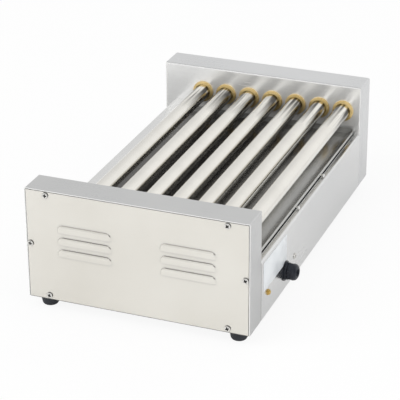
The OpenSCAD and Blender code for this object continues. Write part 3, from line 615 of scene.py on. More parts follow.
# Piece made of a shape: doubles merged, faces turned outwards and edges sharper than an angle kept; faces
# that a mask picks take a second finish
def addPiece(name, shape, finishName, body, replaces=(), sharp=35, second=None, mask=None):
    points, quads = shape
    mesh = bpy.data.meshes.new(name)
    mesh.from_pydata(points.tolist(), [], quads.tolist())
    mesh.materials.append(finish[finishName])
    if second:
        mesh.materials.append(finish[second])
        mesh.polygons.foreach_set("material_index", mask.astype(np.int32))
    work = bmesh.new()
    work.from_mesh(mesh)
    bmesh.ops.remove_doubles(work, verts=work.verts, dist=2e-6)
    bmesh.ops.recalc_face_normals(work, faces=work.faces)
    work.to_mesh(mesh)
    work.free()
    mesh.shade_smooth()
    mesh.set_sharp_from_angle(angle=math.radians(sharp))
    placePiece(name, mesh, body, replaces)


# Lowest and highest corner of a node's box
def boxOf(node):
    low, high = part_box(node)
    return np.array(low), np.array(high)


# Middle of a node's box: half the sum of its two corners
def middleOf(node):
    low, high = boxOf(node)
    return (low + high) / 2


panelX = boxOf("rear_side_panel")[1][0]
controlX = boxOf("front_side_panel")[0][0]

# Rollers: a tube with rounded rims and a rolled bead near its far end
rollerSet = {
    "count": 7, "diameter": 23.0, "wall": 1.0, "rim": 0.4, "segments": 96,
    "bead": 26.0, "beadAt": 232.5, "beadLength": 2.5, "beadFlank": 1.2, "beadFoot": 0.6, "beadCrest": 0.8,
}


# Each tube is its wall's closed outline of along and radius, turned about the roller's axis
def addRollers(s):
    outer, bead, flank = s["diameter"] / 2, s["bead"] / 2, s["beadFlank"]
    inner = outer - s["wall"]
    end = boxOf("roller_1")[1][1] / mm
    lift, drop = s["beadAt"], s["beadAt"] + s["beadLength"]
    outline = [
        (-end, inner), (-end, outer), (lift - flank, outer), (lift, bead),
        (drop, bead), (drop + flank, outer), (end, outer), (end, inner),
    ]
    rim, foot, crest = s["rim"], s["beadFoot"], s["beadCrest"]
    profile = softened(outline, [rim, rim, foot, crest, crest, foot, rim, rim], True) * mm
    for k in range(1, s["count"] + 1):
        x, y, z = middleOf(f"roller_{k}")
        shape = turned(*profile.T, (x, 0.0, z), (0, 1, 0), s["segments"], True)
        addPiece(f"rollerTube{k}", shape, "roller", f"roller_{k}", [f"roller_{k}"])


addRollers(rollerSet)

# Bushes: a flange whose face slopes both ways from a soft ridge, and a spigot that goes through the wall
bushSet = {
    "bore": 23.2, "spigot": 28.0, "flange": 4.0, "ridge": 25.0, "rimFall": 0.9, "boreFall": 0.25,
    "soft": [0.4, 0.4, 0.3, 0.4, 0.9, 1.2, 0.4], "segments": 80,
}


# Each ring is one closed outline of along and radius, turned about its roller's axis and faced inwards
def addBushes(s):
    bore, spigot, ridge, out = s["bore"] / 2, s["spigot"] / 2, s["ridge"] / 2, s["flange"]
    for end in ("near", "far"):
        low, high = (v / mm for v in boxOf(f"{end}_bushes"))
        rim, deep = (high[2] - low[2]) / 2, high[1] - low[1] - out
        face = np.sign(low[1] + high[1])
        outline = [
            (-deep, bore), (-deep, spigot), (0.0, spigot), (0.0, rim),
            (out - s["rimFall"], rim), (out, ridge), (out - s["boreFall"], bore),
        ]
        profile = softened(outline, s["soft"], True) * mm
        wallY = face * (np.abs([low[1], high[1]]).min() + out) * mm
        rings = []
        for k in range(1, rollerSet["count"] + 1):
            x, y, z = middleOf(f"roller_{k}")
            rings.append(turned(*profile.T, (x, wallY, z), (0, -face, 0), s["segments"], True))
        addPiece(f"{end}BushRings", joined(rings), "bronze", "body", [f"{end}_bushes"],
                 sharp=40)


addBushes(bushSet)

# End covers: a flat sheet with louvres pressed out of it in two groups, each open along its lower edge
coverSet = {
    "thick": 1.2, "width": 79.0, "height": 10.5, "out": 2.5, "corner": 8.0, "fold": (1.0, 1.1), "rise": 4.0,
    # The height of the strip along a cover's lower edge that is painted dark as shade
    "endStretch": 2.4, "groupX": 74.0, "top": 115.5, "pitch": 17.8, "count": 3, "bottomShade": 0.8,
    "margin": 1.0,
    # where grid lines start and end round a louvre, and how many there are
    "endLines": (-10.0, 0.6, 28), "middleLines": (-24.0, 24.0, 7), "climbLines": (0.95, -0.4, 22),
    "hoodLines": 6, "plainLines": 9,
}
tiny = 1e-6


# Height of a louvre above its slit: with d the depth inside an outline with two rounded upper corners,
# a steep fold foldHeight * (1 - (1 - d / foldWidth)^2) and on it a soft crown
# (out - foldHeight) * (1 - (1 - d / rise)^2), each up to its full height; towards the ends d shrinks, by the
# square of the share of the way in that lies along u
def louvreHeight(s, u, v):
    qu = np.abs(u) - (s["width"] / 2 - s["corner"])
    qv = v - (s["height"] - s["corner"])
    beyond = np.hypot(np.maximum(qu, 0.0), np.maximum(qv, 0.0))
    d = s["corner"] - beyond - np.minimum(np.maximum(qu, qv), 0.0)
    endShare = np.where(beyond > 0, np.maximum(qu, 0.0) / np.maximum(beyond, 1e-9), qu > qv)
    d = d / (1 + (s["endStretch"] - 1) * endShare ** 2)
    foldWidth, foldHeight = s["fold"]
    fold = foldHeight * (1 - (1 - np.clip(d / foldWidth, 0.0, 1.0)) ** 2)
    return fold + (s["out"] - foldHeight) * (1 - (1 - np.clip(d / s["rise"], 0.0, 1.0)) ** 2)


# Sheet with two sides: the surface, a copy of it moved inwards, and a wall along every edge that only one
# quad has; the mask is one on those walls
def twoSided(points, quads, inwards):
    ends = np.stack([quads, np.roll(quads, -1, axis=1)], -1).reshape(-1, 2)
    key, first, count = np.unique(np.sort(ends, axis=1), axis=0, return_index=True, return_counts=True)
    rim = ends[first[count == 1]]
    n = len(points)
    walls = np.stack([rim[:, 1], rim[:, 0], rim[:, 0] + n, rim[:, 1] + n], -1)
    mask = np.concatenate([np.zeros(2 * len(quads), bool), np.ones(len(walls), bool)])
    faces = np.concatenate([quads, quads[:, ::-1] + n, walls])
    return (np.concatenate([points, points + inwards]), faces), mask


# Grid lines of a cover: fine where the louvres are, and each slit's line twice, for its lip and for below it
def coverLines(s, low, high):
    groups = [g * s["groupX"] for g in (-1, 1)]
    reach = np.linspace(*s["endLines"])
    ends = [group + e * s["width"] / 2 + e * reach for group in groups for e in (-1, 1)]
    middles = [group + np.linspace(*s["middleLines"]) for group in groups]
    x = np.unique(np.concatenate([*ends, *middles, np.linspace(low[0], high[0], s["plainLines"])]))
    slits = low[2] + s["top"] - s["height"] - s["pitch"] * np.arange(s["count"])
    share, past, count = s["climbLines"]
    climb = s["height"] - np.linspace(share * s["rise"], past, count)
    hood = np.linspace(0.0, s["height"] - s["rise"], s["hoodLines"])
    rises = [z + np.concatenate([hood, climb]) for z in slits]
    plain = np.linspace(low[2], high[2], s["plainLines"])
    z = np.sort(np.concatenate([*rises, slits, plain, [low[2] + s["bottomShade"]]]))
    return x, z, slits


# Sheet of one cover: y = flat + height of the louvres, on the grid lines x and z; the two equal lines at
# a slit share their points beside the louvre, and the quads between them are left out, so the slit is open
def addCover(s, node, name):
    low, high = (v / mm for v in boxOf(node))
    face = np.sign(low[1] + high[1])
    x, z, slits = coverLines(s, low, high)
    lip = np.concatenate([np.diff(z) < tiny, [False]])  # the first of the two equal lines lies below the lip
    below = lip[:, None] & np.ones(len(x), bool)
    rise = np.zeros((len(z), len(x)))
    for g in (-1, 1):
        for slit in slits:
            v = z[:, None] - slit
            inside = (v > -tiny) & (v < s["height"] + s["margin"]) & ~below
            rise += np.where(inside, louvreHeight(s, x[None, :] - g * s["groupX"], v), 0.0)
    index = np.arange(rise.size).reshape(rise.shape)
    same = np.zeros(rise.shape, bool)
    same[1:] = lip[:-1, None] & (rise[1:] < tiny)
    index[same] = index[np.roll(same, -1, axis=0)]
    quads = gridQuads(len(z), len(x))
    kept = ~lip[quads[:, 0] // len(x)]
    flatY = (high[1] - s["out"] if face > 0 else low[1] + s["out"]) + face * rise
    points = np.stack([np.broadcast_to(x, rise.shape), flatY, np.broadcast_to(z[:, None], rise.shape)], -1)
    inwards = (0.0, -face * s["thick"] * mm, 0.0)
    shape, mask = twoSided(points.reshape(-1, 3) * mm, index.reshape(-1)[quads[kept]], inwards)
    mask |= shape[0][shape[1], 2].mean(axis=1) < (low[2] + s["bottomShade"]) * mm  # the lower strip of the face, painted dark as shade along the bottom edge
    addPiece(name, shape, "cover", "body", [node], sharp=30, second="cutEdgeAndShade", mask=mask)


addCover(coverSet, "near_cover", "nearCoverSheet")
addCover(coverSet, "far_cover", "farCoverSheet")

# Pan head screws with a cross recess; the places are measured from the edges of the cover's housing
screwSet = {
    "head": 8.6, "height": 2.4, "dome": (0.42, 2.6), "rim": 0.25, "shank": 3.8, "length": 8.0, "point": 1.2,
    "cross": 5.4, "slot": 1.5, "depth": 1.6, "slotSoft": 0.36, "crossSoft": 0.7, "segments": 72,
    "inX": 31.0, "sideX": 6.0, "drop": 7.0, "lift": 6.0, "turnStep": 0.7,
    "terminalHeight": 1.8, "terminalTurn": 0.4, "seatIn": 0.2, "soft": 0.2,
    # shares of the head's radius: rows across the crown and near the rim, and where the crown ends
    "crownRows": (0.0, 0.66, 15), "brimRows": (0.70, 0.96, 6), "brim": 0.985,
    "sideFrom": 0.1, "darkFrom": 0.4,
}


# Rows of a pan head, its rim and its shank: height = top * (1 - fall (r / R)^power), less the depth where the
# cross is cut; the third array marks painted shade: one inside the cross, and by a given share on the head's
# upright side
def panRows(s, top, a, shade):
    headR, shankR = s["head"] / 2, s["shank"] / 2
    fall, power = s["dome"]
    r = np.concatenate([np.linspace(*s["crownRows"]), np.linspace(*s["brimRows"])])[:, None] * headR
    arm = np.minimum(np.abs(r * np.cos(a)), np.abs(r * np.sin(a)))
    reach = np.clip((s["cross"] / 2 - r) / s["crossSoft"], 0.0, 1.0)
    cut = reach * np.clip((s["slot"] / 2 + s["slotSoft"] / 2 - arm) / s["slotSoft"], 0.0, 1.0)
    head = top * (1 - fall * (r / headR) ** power) - s["depth"] * cut
    rim = softened([
        (top * (1 - fall), headR * s["brim"]), (s["rim"], headR), (0.0, headR - s["seatIn"]), (0.0, shankR),
        (-s["length"], shankR), (-s["length"] - s["point"], 0.0),
    ], s["soft"], steps=3)
    below, around = roundRows(rim, a)
    along = np.concatenate([head, np.repeat(below[:, None], a.size, axis=1)])
    radius = np.concatenate([np.repeat(r, a.size, axis=1), around])
    side = np.broadcast_to(shade * (below > s["sideFrom"])[:, None], around.shape)
    return along, radius, np.concatenate([cut, side])


# One screw at a place, its cross turned by an angle, and the mask of its faces painted dark as shade; points
# as in turned
def panScrew(s, centre, axis, turn, top, shade):
    a = turnAngles(s["segments"]) + np.pi / 8
    along, radius, cut = panRows(s, top, a, shade)
    axis, side, other = axisFrame(axis)
    spoke = np.outer(np.cos(a + turn), side) + np.outer(np.sin(a + turn), other)
    points = np.asarray(centre) + mm * (along[..., None] * axis + radius[..., None] * spoke)
    quads = gridQuads(len(along), a.size, False, True)
    return (points.reshape(-1, 3), quads), cut.reshape(-1)[quads].mean(axis=1) > s["darkFrom"]


# Six screws on each cover, in mirrored pairs, and the small one on the panel
def addScrews(s):
    inX, sideX, drop, lift = (s[key] * mm for key in ("inX", "sideX", "drop", "lift"))
    low, high = boxOf("near_shell")
    places = [(x * (high[0] - inX), high[2] - drop) for x in (-1, 1)]
    places += [(x * (high[0] - sideX), (low[2] + high[2]) / 2) for x in (-1, 1)]
    places += [(x * (high[0] - inX), low[2] + lift) for x in (-1, 1)]
    shapes, masks = [], []
    for k, (y, (x, z)) in enumerate((y, place) for y in (low[1], -low[1]) for place in places):
        shape, mask = panScrew(s, (x, y, z), (0, np.sign(y), 0), s["turnStep"] * k, s["height"], 1.0)
        shapes.append(shape)
        masks.append(mask)
    # The cross recesses and the sides of the heads are painted dark as shade
    addPiece("coverScrewHeads", joined(shapes), "screw", "body",
             ["cover_screws"], sharp=28, second="recess", mask=np.concatenate(masks))
    x, y, z = middleOf("terminal_screw")
    shape, mask = panScrew(s, (panelX, y, z), (1, 0, 0), s["terminalTurn"], s["terminalHeight"], 0.0)
    addPiece("terminalScrewHead", shape, "screw", "body",
             ["terminal_screw"], sharp=28, second="recess", mask=mask)


addScrews(screwSet)

# Cable gland: round base and hexagon, then a dome nut that closes in on an open mouth; levels from the panel
glandSet = {
    "base": 28.7, "baseTop": 1.5, "baseSoft": 0.35, "waist": 24.0, "hex": 24.0, "hexTop": 5.5, "hexCut": 0.9,
    "neckTop": 11.8, "spigot": 20.0, "spigotEnd": -12.0, "thread": 18.0, "play": 0.05, "bore": 10.0,
    "nutHex": 22.5, "nutSeat": 5.8, "nutTop": 12.3, "nutDepth": 6.0, "domeFrom": 11.9, "domeIn": 0.2,
    "domeRows": 12, "mouth": 16.0, "mouthIn": 0.5, "lip": 0.8, "lipSoft": 0.5, "segments": 96,
    "flare": [(0.0, 1.6), (1.0, 0.4), (2.0, 0.0)],  # depth from the mouth's face, and width over the bore
}


# Base and nut are stretches of rows about X: round or six-sided, and for the dome
# along = from + rise * sin t, radius = mouth + (widest - mouth) * cos t
def addGland(s):
    a = turnAngles(s["segments"])
    x, y, z = middleOf("gland_nut")
    centre = (panelX, y, z)
    out = (boxOf("gland_nut")[1][0] - panelX) / mm
    baseR, spigotR, bore, neck = s["base"] / 2, s["spigot"] / 2, s["bore"] / 2, s["thread"] / 2
    foot, hexTop, seat, inner = s["baseTop"], s["hexTop"], s["nutSeat"], s["spigotEnd"]
    base = softened([
        (inner, bore), (inner, spigotR), (0, spigotR), (0, baseR), (foot, baseR), (foot, s["waist"] / 2),
    ], s["baseSoft"])
    top = [(hexTop, neck), (s["neckTop"], neck), (s["neckTop"], bore)]
    body = [roundRows(base, a), hexRows(s["hex"], foot, hexTop, a, s["hexCut"]), roundRows(top, a)]
    shape = stacked(body, centre, (1, 0, 0), s["segments"], True)
    addPiece("glandBase", shape, "gland", "body", ["gland_body"], sharp=40)
    t = np.linspace(0.0, np.pi / 2, s["domeRows"])
    mouth, widest = s["mouth"] / 2, s["hex"] / 2 - s["domeIn"]
    rise = out - s["lip"] - s["domeFrom"]
    dome = np.stack([s["domeFrom"] + rise * np.sin(t), mouth + (widest - mouth) * np.cos(t)], -1)
    deep, loose = seat + s["nutDepth"], neck + s["play"]
    flare = [(out - depth, bore + over) for depth, over in s["flare"]]
    lip = softened([
        dome[-1], (out, mouth - s["mouthIn"]), *flare, (deep, bore), (deep, loose), (seat, loose),
    ], s["lipSoft"])
    nut = [hexRows(s["nutHex"], seat, s["nutTop"], a), roundRows(dome, a), roundRows(lip, a)]
    shape = stacked(nut, centre, (1, 0, 0), s["segments"], True)
    addPiece("glandDomeNut", shape, "gland", "body", ["gland_nut"], sharp=40)


addGland(glandSet)

# Earth stud: washer, hexagon nuts, and a stud whose thread is a ridge that climbs by its pitch every turn
earthSet = {
    "stud": 5.0, "pitch": 0.8, "threadDepth": 0.35, "threadFade": 0.4, "washer": (8.8, 0.6),
    "nut": (7.6, 2.2), "sunk": 0.3, "tip": 3.6, "tipLength": 0.5, "tipIn": 0.6, "inside": 14.0,
    "insideTip": (0.4, 0.5), "sheet": 1.2, "backNut": 4.0, "soft": 0.2, "segments": 48,
}


# Rows of a thread: radius falls by the depth half-way between ridges, and the ridges climb with the angle
def threadRows(s, low, high, a, perPitch=8):
    h = np.linspace(low, high, int((high - low) / s["pitch"] * perPitch) + 1)
    phase = (h[:, None] / s["pitch"] - a[None, :] / (2 * np.pi)) % 1.0
    fade = np.clip(np.minimum(h - low, high - h) / s["threadFade"], 0.0, 1.0)[:, None]
    return h, s["stud"] / 2 - s["threadDepth"] * np.abs(2 * phase - 1) * fade


# Rows of a hexagon nut, closed by a point on the axis at each end
def nutRows(across, low, high, a, cut=0.5):
    return [roundRows([(low, 0.0)], a), hexRows(across, low, high, a, cut), roundRows([(high, 0.0)], a)]


# Washer, both stretches of the stud and both nuts are rows about X, measured from the panel's face
def addEarthStud(s):
    a = turnAngles(s["segments"])
    x, y, z = middleOf("earth_stud")
    washerR, washerT = s["washer"][0] / 2, s["washer"][1]
    across, top = s["nut"]
    r, sheet, inside = s["stud"] / 2, s["sheet"], s["inside"]
    start, threadEnd = top - s["sunk"], s["tip"] - s["tipLength"]
    endLength, endIn = s["insideTip"]
    washer = softened([(0.0, 0.0), (0.0, washerR), (washerT, washerR), (washerT, 0.0)], s["soft"])
    stud = [
        roundRows([(start, 0.0), (start, r)], a), threadRows(s, start, threadEnd, a),
        roundRows([(threadEnd, r), (s["tip"], r - s["tipIn"]), (s["tip"], 0.0)], a),
    ]
    inner = [
        roundRows([(-inside, 0.0), (-inside, r - endIn)], a), threadRows(s, endLength - inside, -sheet, a),
        roundRows([(-sheet, 0.0)], a),
    ]
    nut = nutRows(across, washerT, top, a)
    backNut = nutRows(across, -sheet - s["backNut"], -sheet, a)
    stretches = ([roundRows(washer, a)], stud, inner, nut, backNut)
    shapes = [stacked(rows, (panelX, y, z), (1, 0, 0), s["segments"]) for rows in stretches]
    addPiece("earthStudBrass", joined(shapes), "brass", "body", ["earth_stud"], sharp=32)


addEarthStud(earthSet)

# Pull pins: a slim neck and a button head with a crowned face
pinSet = {
    "neck": 2.4, "head": 5.0, "out": 7.0, "inside": 2.0, "stem": 2.0, "crown": 0.6, "flatShare": 0.45,
    "soft": 0.55, "segments": 48,
}


# Two pins, each one outline of along and radius turned about X
def addPins(s):
    low, high = boxOf("tray_pull_pins")
    face = high[0] - s["out"] * mm
    mid, out = s["out"] / 2, s["out"]
    headR, neckR, stemR = s["head"] / 2, s["neck"] / 2, s["stem"] / 2
    profile = softened([
        (-s["inside"], 0.0), (-s["inside"], stemR), (0.0, stemR), (0.0, neckR), (mid, neckR), (mid, headR),
        (out - s["crown"], headR), (out, headR * s["flatShare"]), (out, 0.0),
    ], s["soft"]) * mm
    y = high[1] - headR * mm
    z = (low[2] + high[2]) / 2
    pins = [turned(*profile.T, (face, side * y, z), (1, 0, 0), s["segments"]) for side in (-1, 1)]
    addPiece("trayPullPins", joined(pins), "pin", "tray", ["tray_pull_pins"], sharp=40)


addPins(pinSet)

# Feet: a rubber cone with a soft lip, hollow underneath for its screw
footSet = {
    "top": 26.5, "foot": 21.5, "lip": 3.2, "ankle": 2.5, "ankleOut": 0.6, "toeIn": 1.0, "recess": 5.5,
    "screw": 2.6, "soft": [0.3, 0.8, 2.0, 2.0, 1.6, 0.6, 0.4, 0.3], "segments": 64,
}


# Four feet, each one closed outline of along and radius turned about Z
def addFeet(s):
    low, high = boxOf("feet")
    h = (high[2] - low[2]) / mm
    seat = h / 2
    topR, footR, recess, screw = s["top"] / 2, s["foot"] / 2, s["recess"], s["screw"]
    outline = [
        (h, screw), (h, topR), (h - s["lip"], topR), (s["ankle"], footR + s["ankleOut"]),
        (0.0, footR - s["toeIn"]), (0.0, recess), (seat, recess), (seat, screw),
    ]
    profile = softened(outline, s["soft"], True) * mm
    x, y = high[0] - topR * mm, high[1] - topR * mm
    corners = [(sx * x, sy * y, 0.0) for sx in (-1, 1) for sy in (-1, 1)]
    shapes = [turned(*profile.T, corner, (0, 0, 1), s["segments"], True) for corner in corners]
    addPiece("rubberFeet", joined(shapes), "rubber", "body", ["feet"], sharp=40)


addFeet(footSet)

# Label plate: a thin blank sheet with rounded corners on the panel beside the gland
labelSet = {"y": (-217.0, -122.5), "z": (55.5, 98.5), "corner": 1.5, "thick": 0.25, "rim": 0.1}


# A rounded rectangle in Y and Z, carried along X
def addLabel(s):
    outline = roundedBox((s["y"][0], s["z"][0]), (s["y"][1], s["z"][1]), s["corner"]) * mm
    levels, insets = roundedLevels(0.0, s["thick"] * mm, s["rim"] * mm, steps=3)
    shape = carried(outline, levels, insets, (panelX, 0.0, 0.0), (1, 0, 0))
    addPiece("blankPlate", shape, "label", "body")


addLabel(labelSet)

# Control knobs: skirt, fluted grip, a raised bar to turn it by, and a pale pointer line along the bar
knobSet = {
    "skirt": 38.0, "skirtEdge": 2.0, "grip": 27.4, "gripFoot": 6.0,
    "slope": (3.6, 2.2), "root": (4.0, 0.6),  # level, and how far in from the skirt or out from the grip
    "brow": (1.5, 1.4), "brim": 3.0, "hollow": 0.3, "soft": [0.3, 0.7, 0.9, 0.6, 1.5, 1.2, 1.2],
    "flutes": 18, "fluteDepth": 0.55, "fluteFrom": 4.6, "fluteEnd": 1.0,
    "bar": 5.0, "barEnds": (1.0, 2.0), "barFrom": 3.5, "barRise": 2.0, "barSoft": 1.2, "barCorner": 1.6,
    "line": 1.3, "lineFrom": 1.0, "lineShort": 3.6, "lineCorner": 0.5, "lineSunk": 0.1, "ink": 0.12,
    "inkSoft": 0.05, "segments": 144, "rows": 90,
}


# Flutes: the radius dips by the square of a raised cosine a given number of times round, within a stretch of
# the axis that fades out at both ends
def flutedRadius(profile, a, count, depth, low, high, fade=1.0):
    along, radius = profile[:, :1], profile[:, 1:]
    there = np.clip((along - low) / fade, 0, 1) * np.clip((high - along) / fade, 0, 1)
    return radius - depth * there * (0.5 - 0.5 * np.cos(count * a))[None, :] ** 2


# Rows of the grip: its outline of along and radius, spread over an even count of rows
def gripRows(s, face):
    skirtR, gripR = s["skirt"] / 2, s["grip"] / 2
    (slopeTop, slopeIn), (rootTop, rootOut), (browDrop, browIn) = s["slope"], s["root"], s["brow"]
    outline = [
        (0.0, 0.0), (0.0, skirtR), (s["skirtEdge"], skirtR), (slopeTop, skirtR - slopeIn),
        (rootTop, gripR + rootOut), (s["gripFoot"], gripR), (face - browDrop, gripR - browIn),
        (face, gripR - s["brim"]), (face - s["hollow"], 0.0),
    ]
    profile = softened(outline, s["soft"], steps=7)
    number = np.arange(len(profile))
    fine = np.interp(np.linspace(0, 1, s["rows"]), np.linspace(0, 1, len(profile)), number)
    return np.stack([np.interp(fine, number, column) for column in profile.T], -1)


# Each knob is turned about X, with a bar and a line carried out from it
def addKnobs(s):
    a = turnAngles(s["segments"])
    skirtR, gripR = s["skirt"] / 2, s["grip"] / 2
    tail, nose = s["barEnds"]
    tip = skirtR - s["lineShort"]
    for k in (1, 2):
        low, high = boxOf(f"knob_{k}")
        x, y, z = (low + high) / 2
        depth = (high[0] - low[0]) / mm
        centre = (high[0], y, z)
        face = depth - s["barRise"]
        rows = gripRows(s, face)
        radius = flutedRadius(rows, a, s["flutes"], s["fluteDepth"], s["fluteFrom"], face - s["fluteEnd"])
        grip = turned(rows[:, 0] * mm, radius * mm, centre, (-1, 0, 0), s["segments"])
        bar = roundedBox((-s["bar"] / 2, tail - gripR), (s["bar"] / 2, skirtR - nose), s["barCorner"]) * mm
        levels, insets = roundedLevels(s["barFrom"] * mm, depth * mm, s["barSoft"] * mm)
        addPiece(f"knobGrip{k}", joined([grip, carried(bar, levels, insets, centre, (-1, 0, 0))]), "knob",
                 f"control_{k}", [f"knob_{k}"], sharp=40)
        line = roundedBox((-s["line"] / 2, s["lineFrom"]), (s["line"] / 2, tip), s["lineCorner"]) * mm
        under, top = (depth - s["lineSunk"]) * mm, (depth + s["ink"]) * mm
        levels, insets = roundedLevels(under, top, s["inkSoft"] * mm, steps=3)
        addPiece(f"knobPointer{k}", carried(line, levels, insets, centre, (-1, 0, 0)), "ink", f"control_{k}")


addKnobs(knobSet)

# Dial round each knob: a tick at each step of the turn from straight up, with plain numbers outside them
dialSet = {
    "steps": 10, "turn": 270.0, "inner": 20.6, "outer": 23.8, "width": 0.7, "numbers": 28.2, "size": 5.2,
    "ink": 0.06, "corner": 0.2,
}


# Tick along the direction (sin angle, cos angle), between two radii and half its width to each side
def tickShape(s, angle, centre):
    way = np.array([np.sin(angle), np.cos(angle)])
    half = np.array([way[1], -way[0]]) * s["width"] / 2
    near, far = s["inner"] * way, s["outer"] * way
    outline = softened([near + half, far + half, far - half, near - half], s["corner"], True, steps=3) * mm
    return carried(outline, np.array([0.0, s["ink"]]) * mm, np.zeros(2), centre, (-1, 0, 0))


# Mesh of a short text, flat in X and Y, centred on the origin
def textPoints(words, size):
    curve = bpy.data.curves.new("dialText", "FONT")
    curve.body = words
    curve.size = size
    curve.align_x = "CENTER"
    curve.align_y = "CENTER"
    holder = bpy.data.objects.new("dialText", curve)
    bpy.context.scene.collection.objects.link(holder)
    shapes = bpy.context.evaluated_depsgraph_get()
    mesh = bpy.data.meshes.new_from_object(holder.evaluated_get(shapes))
    points = np.empty(len(mesh.vertices) * 3)
    mesh.vertices.foreach_get("co", points)
    faces = [tuple(p.vertices) for p in mesh.polygons]
    bpy.data.objects.remove(holder)
    bpy.data.curves.remove(curve)
    bpy.data.meshes.remove(mesh)
    return points.reshape(-1, 3), faces


# Ticks and numbers lie on the control panel, at the angle of each step from straight up
def addDials(s):
    step = math.radians(s["turn"] / (s["steps"] - 1))
    for k in (1, 2):
        x, y, z = middleOf(f"knob_{k}")
        centre = np.array([controlX, y, z])
        ticks = [tickShape(s, i * step, centre) for i in range(s["steps"])]
        addPiece(f"dialTicks{k}", joined(ticks), "darkInk", "body")
        for i in range(s["steps"]):
            points, faces = textPoints(str(i), s["size"] * mm)
            place = s["numbers"] * mm * np.array([np.sin(i * step), np.cos(i * step)])
            flat = points[:, :2] + place
            placed = centre + flat[:, :1] * np.array([0, -1, 0]) + flat[:, 1:] * np.array([0, 0, 1])
            placed[:, 0] -= s["ink"] * mm
            mesh = bpy.data.meshes.new(f"dialNumber{k}.{i}")
            mesh.from_pydata(placed.tolist(), [], faces)
            mesh.materials.append(finish["darkInk"])
            placePiece(f"dialNumber{k}.{i}", mesh, "body")


addDials(dialSet)

# Switch rocker: a dished bar that tips on a pin, with a bar and a ring printed on its two halves
rockerSet = {
    "half": 10.8, "face": 5.5, "dish": 2.0, "dishShare": 0.96, "dishRows": 25, "nose": 0.97,
    "noseRise": (0.4, 1.4), "heel": 4.0, "soft": 0.8, "width": 16.0, "pin": (4.0, 19.0), "pinSegments": 32,
    "tip": 12.0, "inset": 2.0, "markAt": 5.8, "ring": (2.3, 0.7), "ringSegments": 48, "bar": (0.9, 4.6),
    "barCorner": 0.3, "ink": 0.08, "inkSoft": 0.03, "lift": 0.03,
}


# Points tipped about Y by an angle: x' = x cos - z sin, z' = x sin + z cos
def tipped(points, degrees):
    c, s = np.cos(np.radians(degrees)), np.sin(np.radians(degrees))
    x, y, z = points.T
    return np.stack([x * c - z * s, y, x * s + z * c], -1)


# The bar's outline is carried along Y and tipped: its front is a dish -face + dish * (1 - t^2), deepest at
# the middle, and the marks are draped over the same curve
def addRocker(s):
    pivot = np.array([controlX + s["inset"] * mm, *middleOf("switch_body")[1:]])
    half, face, dish, heel = s["half"], s["face"], s["dish"], s["heel"]
    t = np.linspace(-s["dishShare"], s["dishShare"], s["dishRows"])
    front = np.stack([half * t, -face + dish * (1 - t ** 2)], -1)
    under, over = s["noseRise"]
    back = [(half * s["nose"], under - face), (half, over - face), (half, heel - face), (heel, heel)]
    behind = softened(back + [(-u, w) for u, w in back[::-1]], s["soft"])
    levels, insets = roundedLevels(-s["width"] / 2 * mm, s["width"] / 2 * mm, s["soft"] * mm)
    bar = carried(np.concatenate([front, behind]) * mm, levels, insets, (0, 0, 0), (0, 1, 0))
    pinR, pinL = s["pin"][0] / 2 * mm, s["pin"][1] / 2 * mm
    pinRows = ([-pinL, -pinL, pinL, pinL], [0.0, pinR, pinR, 0.0])
    pin = turned(*pinRows, (0, 0, 0), (0, 1, 0), s["pinSegments"])
    points, quads = joined([bar, pin])
    addPiece("rockerBar", (tipped(points, s["tip"]) + pivot, quads), "switch", "rocker",
             ["switch_rocker"])
    r, w = s["ring"]
    ringRows = np.array([(0.0, r), (s["ink"], r), (s["ink"], r - w), (0.0, r - w)]) * mm
    onHalf = np.array(s["bar"]) / 2
    onOutline = roundedBox(-onHalf, onHalf, s["barCorner"]) * mm
    levels, insets = roundedLevels(0.0, s["ink"] * mm, s["inkSoft"] * mm, steps=3)
    marks = {
        "offRing": (-1, turned(*ringRows.T, (0, 0, 0), (-1, 0, 0), s["ringSegments"], True)),
        "onBar": (1, carried(onOutline, levels, insets, (0, 0, 0), (-1, 0, 0))),
    }
    for name, (side, (points, quads)) in marks.items():
        x, y, z = points.T / mm
        z = z + side * s["markAt"]
        draped = np.stack([x - face + dish * (1 - (z / half) ** 2) + s["lift"], y, z], -1) * mm
        addPiece(name, (tipped(draped, s["tip"]) + pivot, quads), "ink", "rocker")


addRocker(rockerSet)
print("pieces made")

# Studio: pale floor, soft lamps, and a world that is white to the eye and dimmer as light
floorSet = {
    "radius": 9.0,
    "colors": ((0.90, 0.90, 0.90), (0.93, 0.93, 0.93)),
    "drift": 0.6,            # ripples of tone per metre
    "lift": 0.90,            # share of plain white to the eye
    "liftSeen": 0.30,        # and in reflections
    "patch": 0.70,           # how far reflections see a dim patch at the left
    "patchPlace": (-0.245, -0.045, 0.0),
    "patchEdge": (0.19, 0.06),
}
skySet = {
    "fill": 0.50,
    "left": 0.80,
    "leftToRight": (-0.5, 0.3),
    "ceiling": 0.65,
    "ceilingRise": (0.76, 0.90),
    "front": (0.95, 1.6),    # level by way of one reflection, and of two
    "frontFace": (-0.25, -0.60),
    "frontRise": (0.14, 0.36),
    "curtain": 0.08,
    "curtainFace": (0.82, -0.36, 0.42),
    "curtainEdge": (0.88, 0.94),
}
lampSet = {
    "key": {"place": (-2.2, -2.6, 3.4), "size": 3.2, "power": 110.0},
    "side": {"place": (3.2, -0.6, 2.6), "size": 2.8, "power": 42.0},
    "back": {"place": (0.6, 3.4, 3.0), "size": 3.2, "power": 34.0},
}


# One for rays that look at the background: from the camera, by reflection or through glass
def lookingRay(tree):
    path = addNode(tree, "ShaderNodeLightPath", {})
    seen = path.outputs["Is Camera Ray"]
    for other in ("Is Glossy Ray", "Is Transmission Ray"):
        seen = brighter(tree, seen, path.outputs[other])
    return path, seen


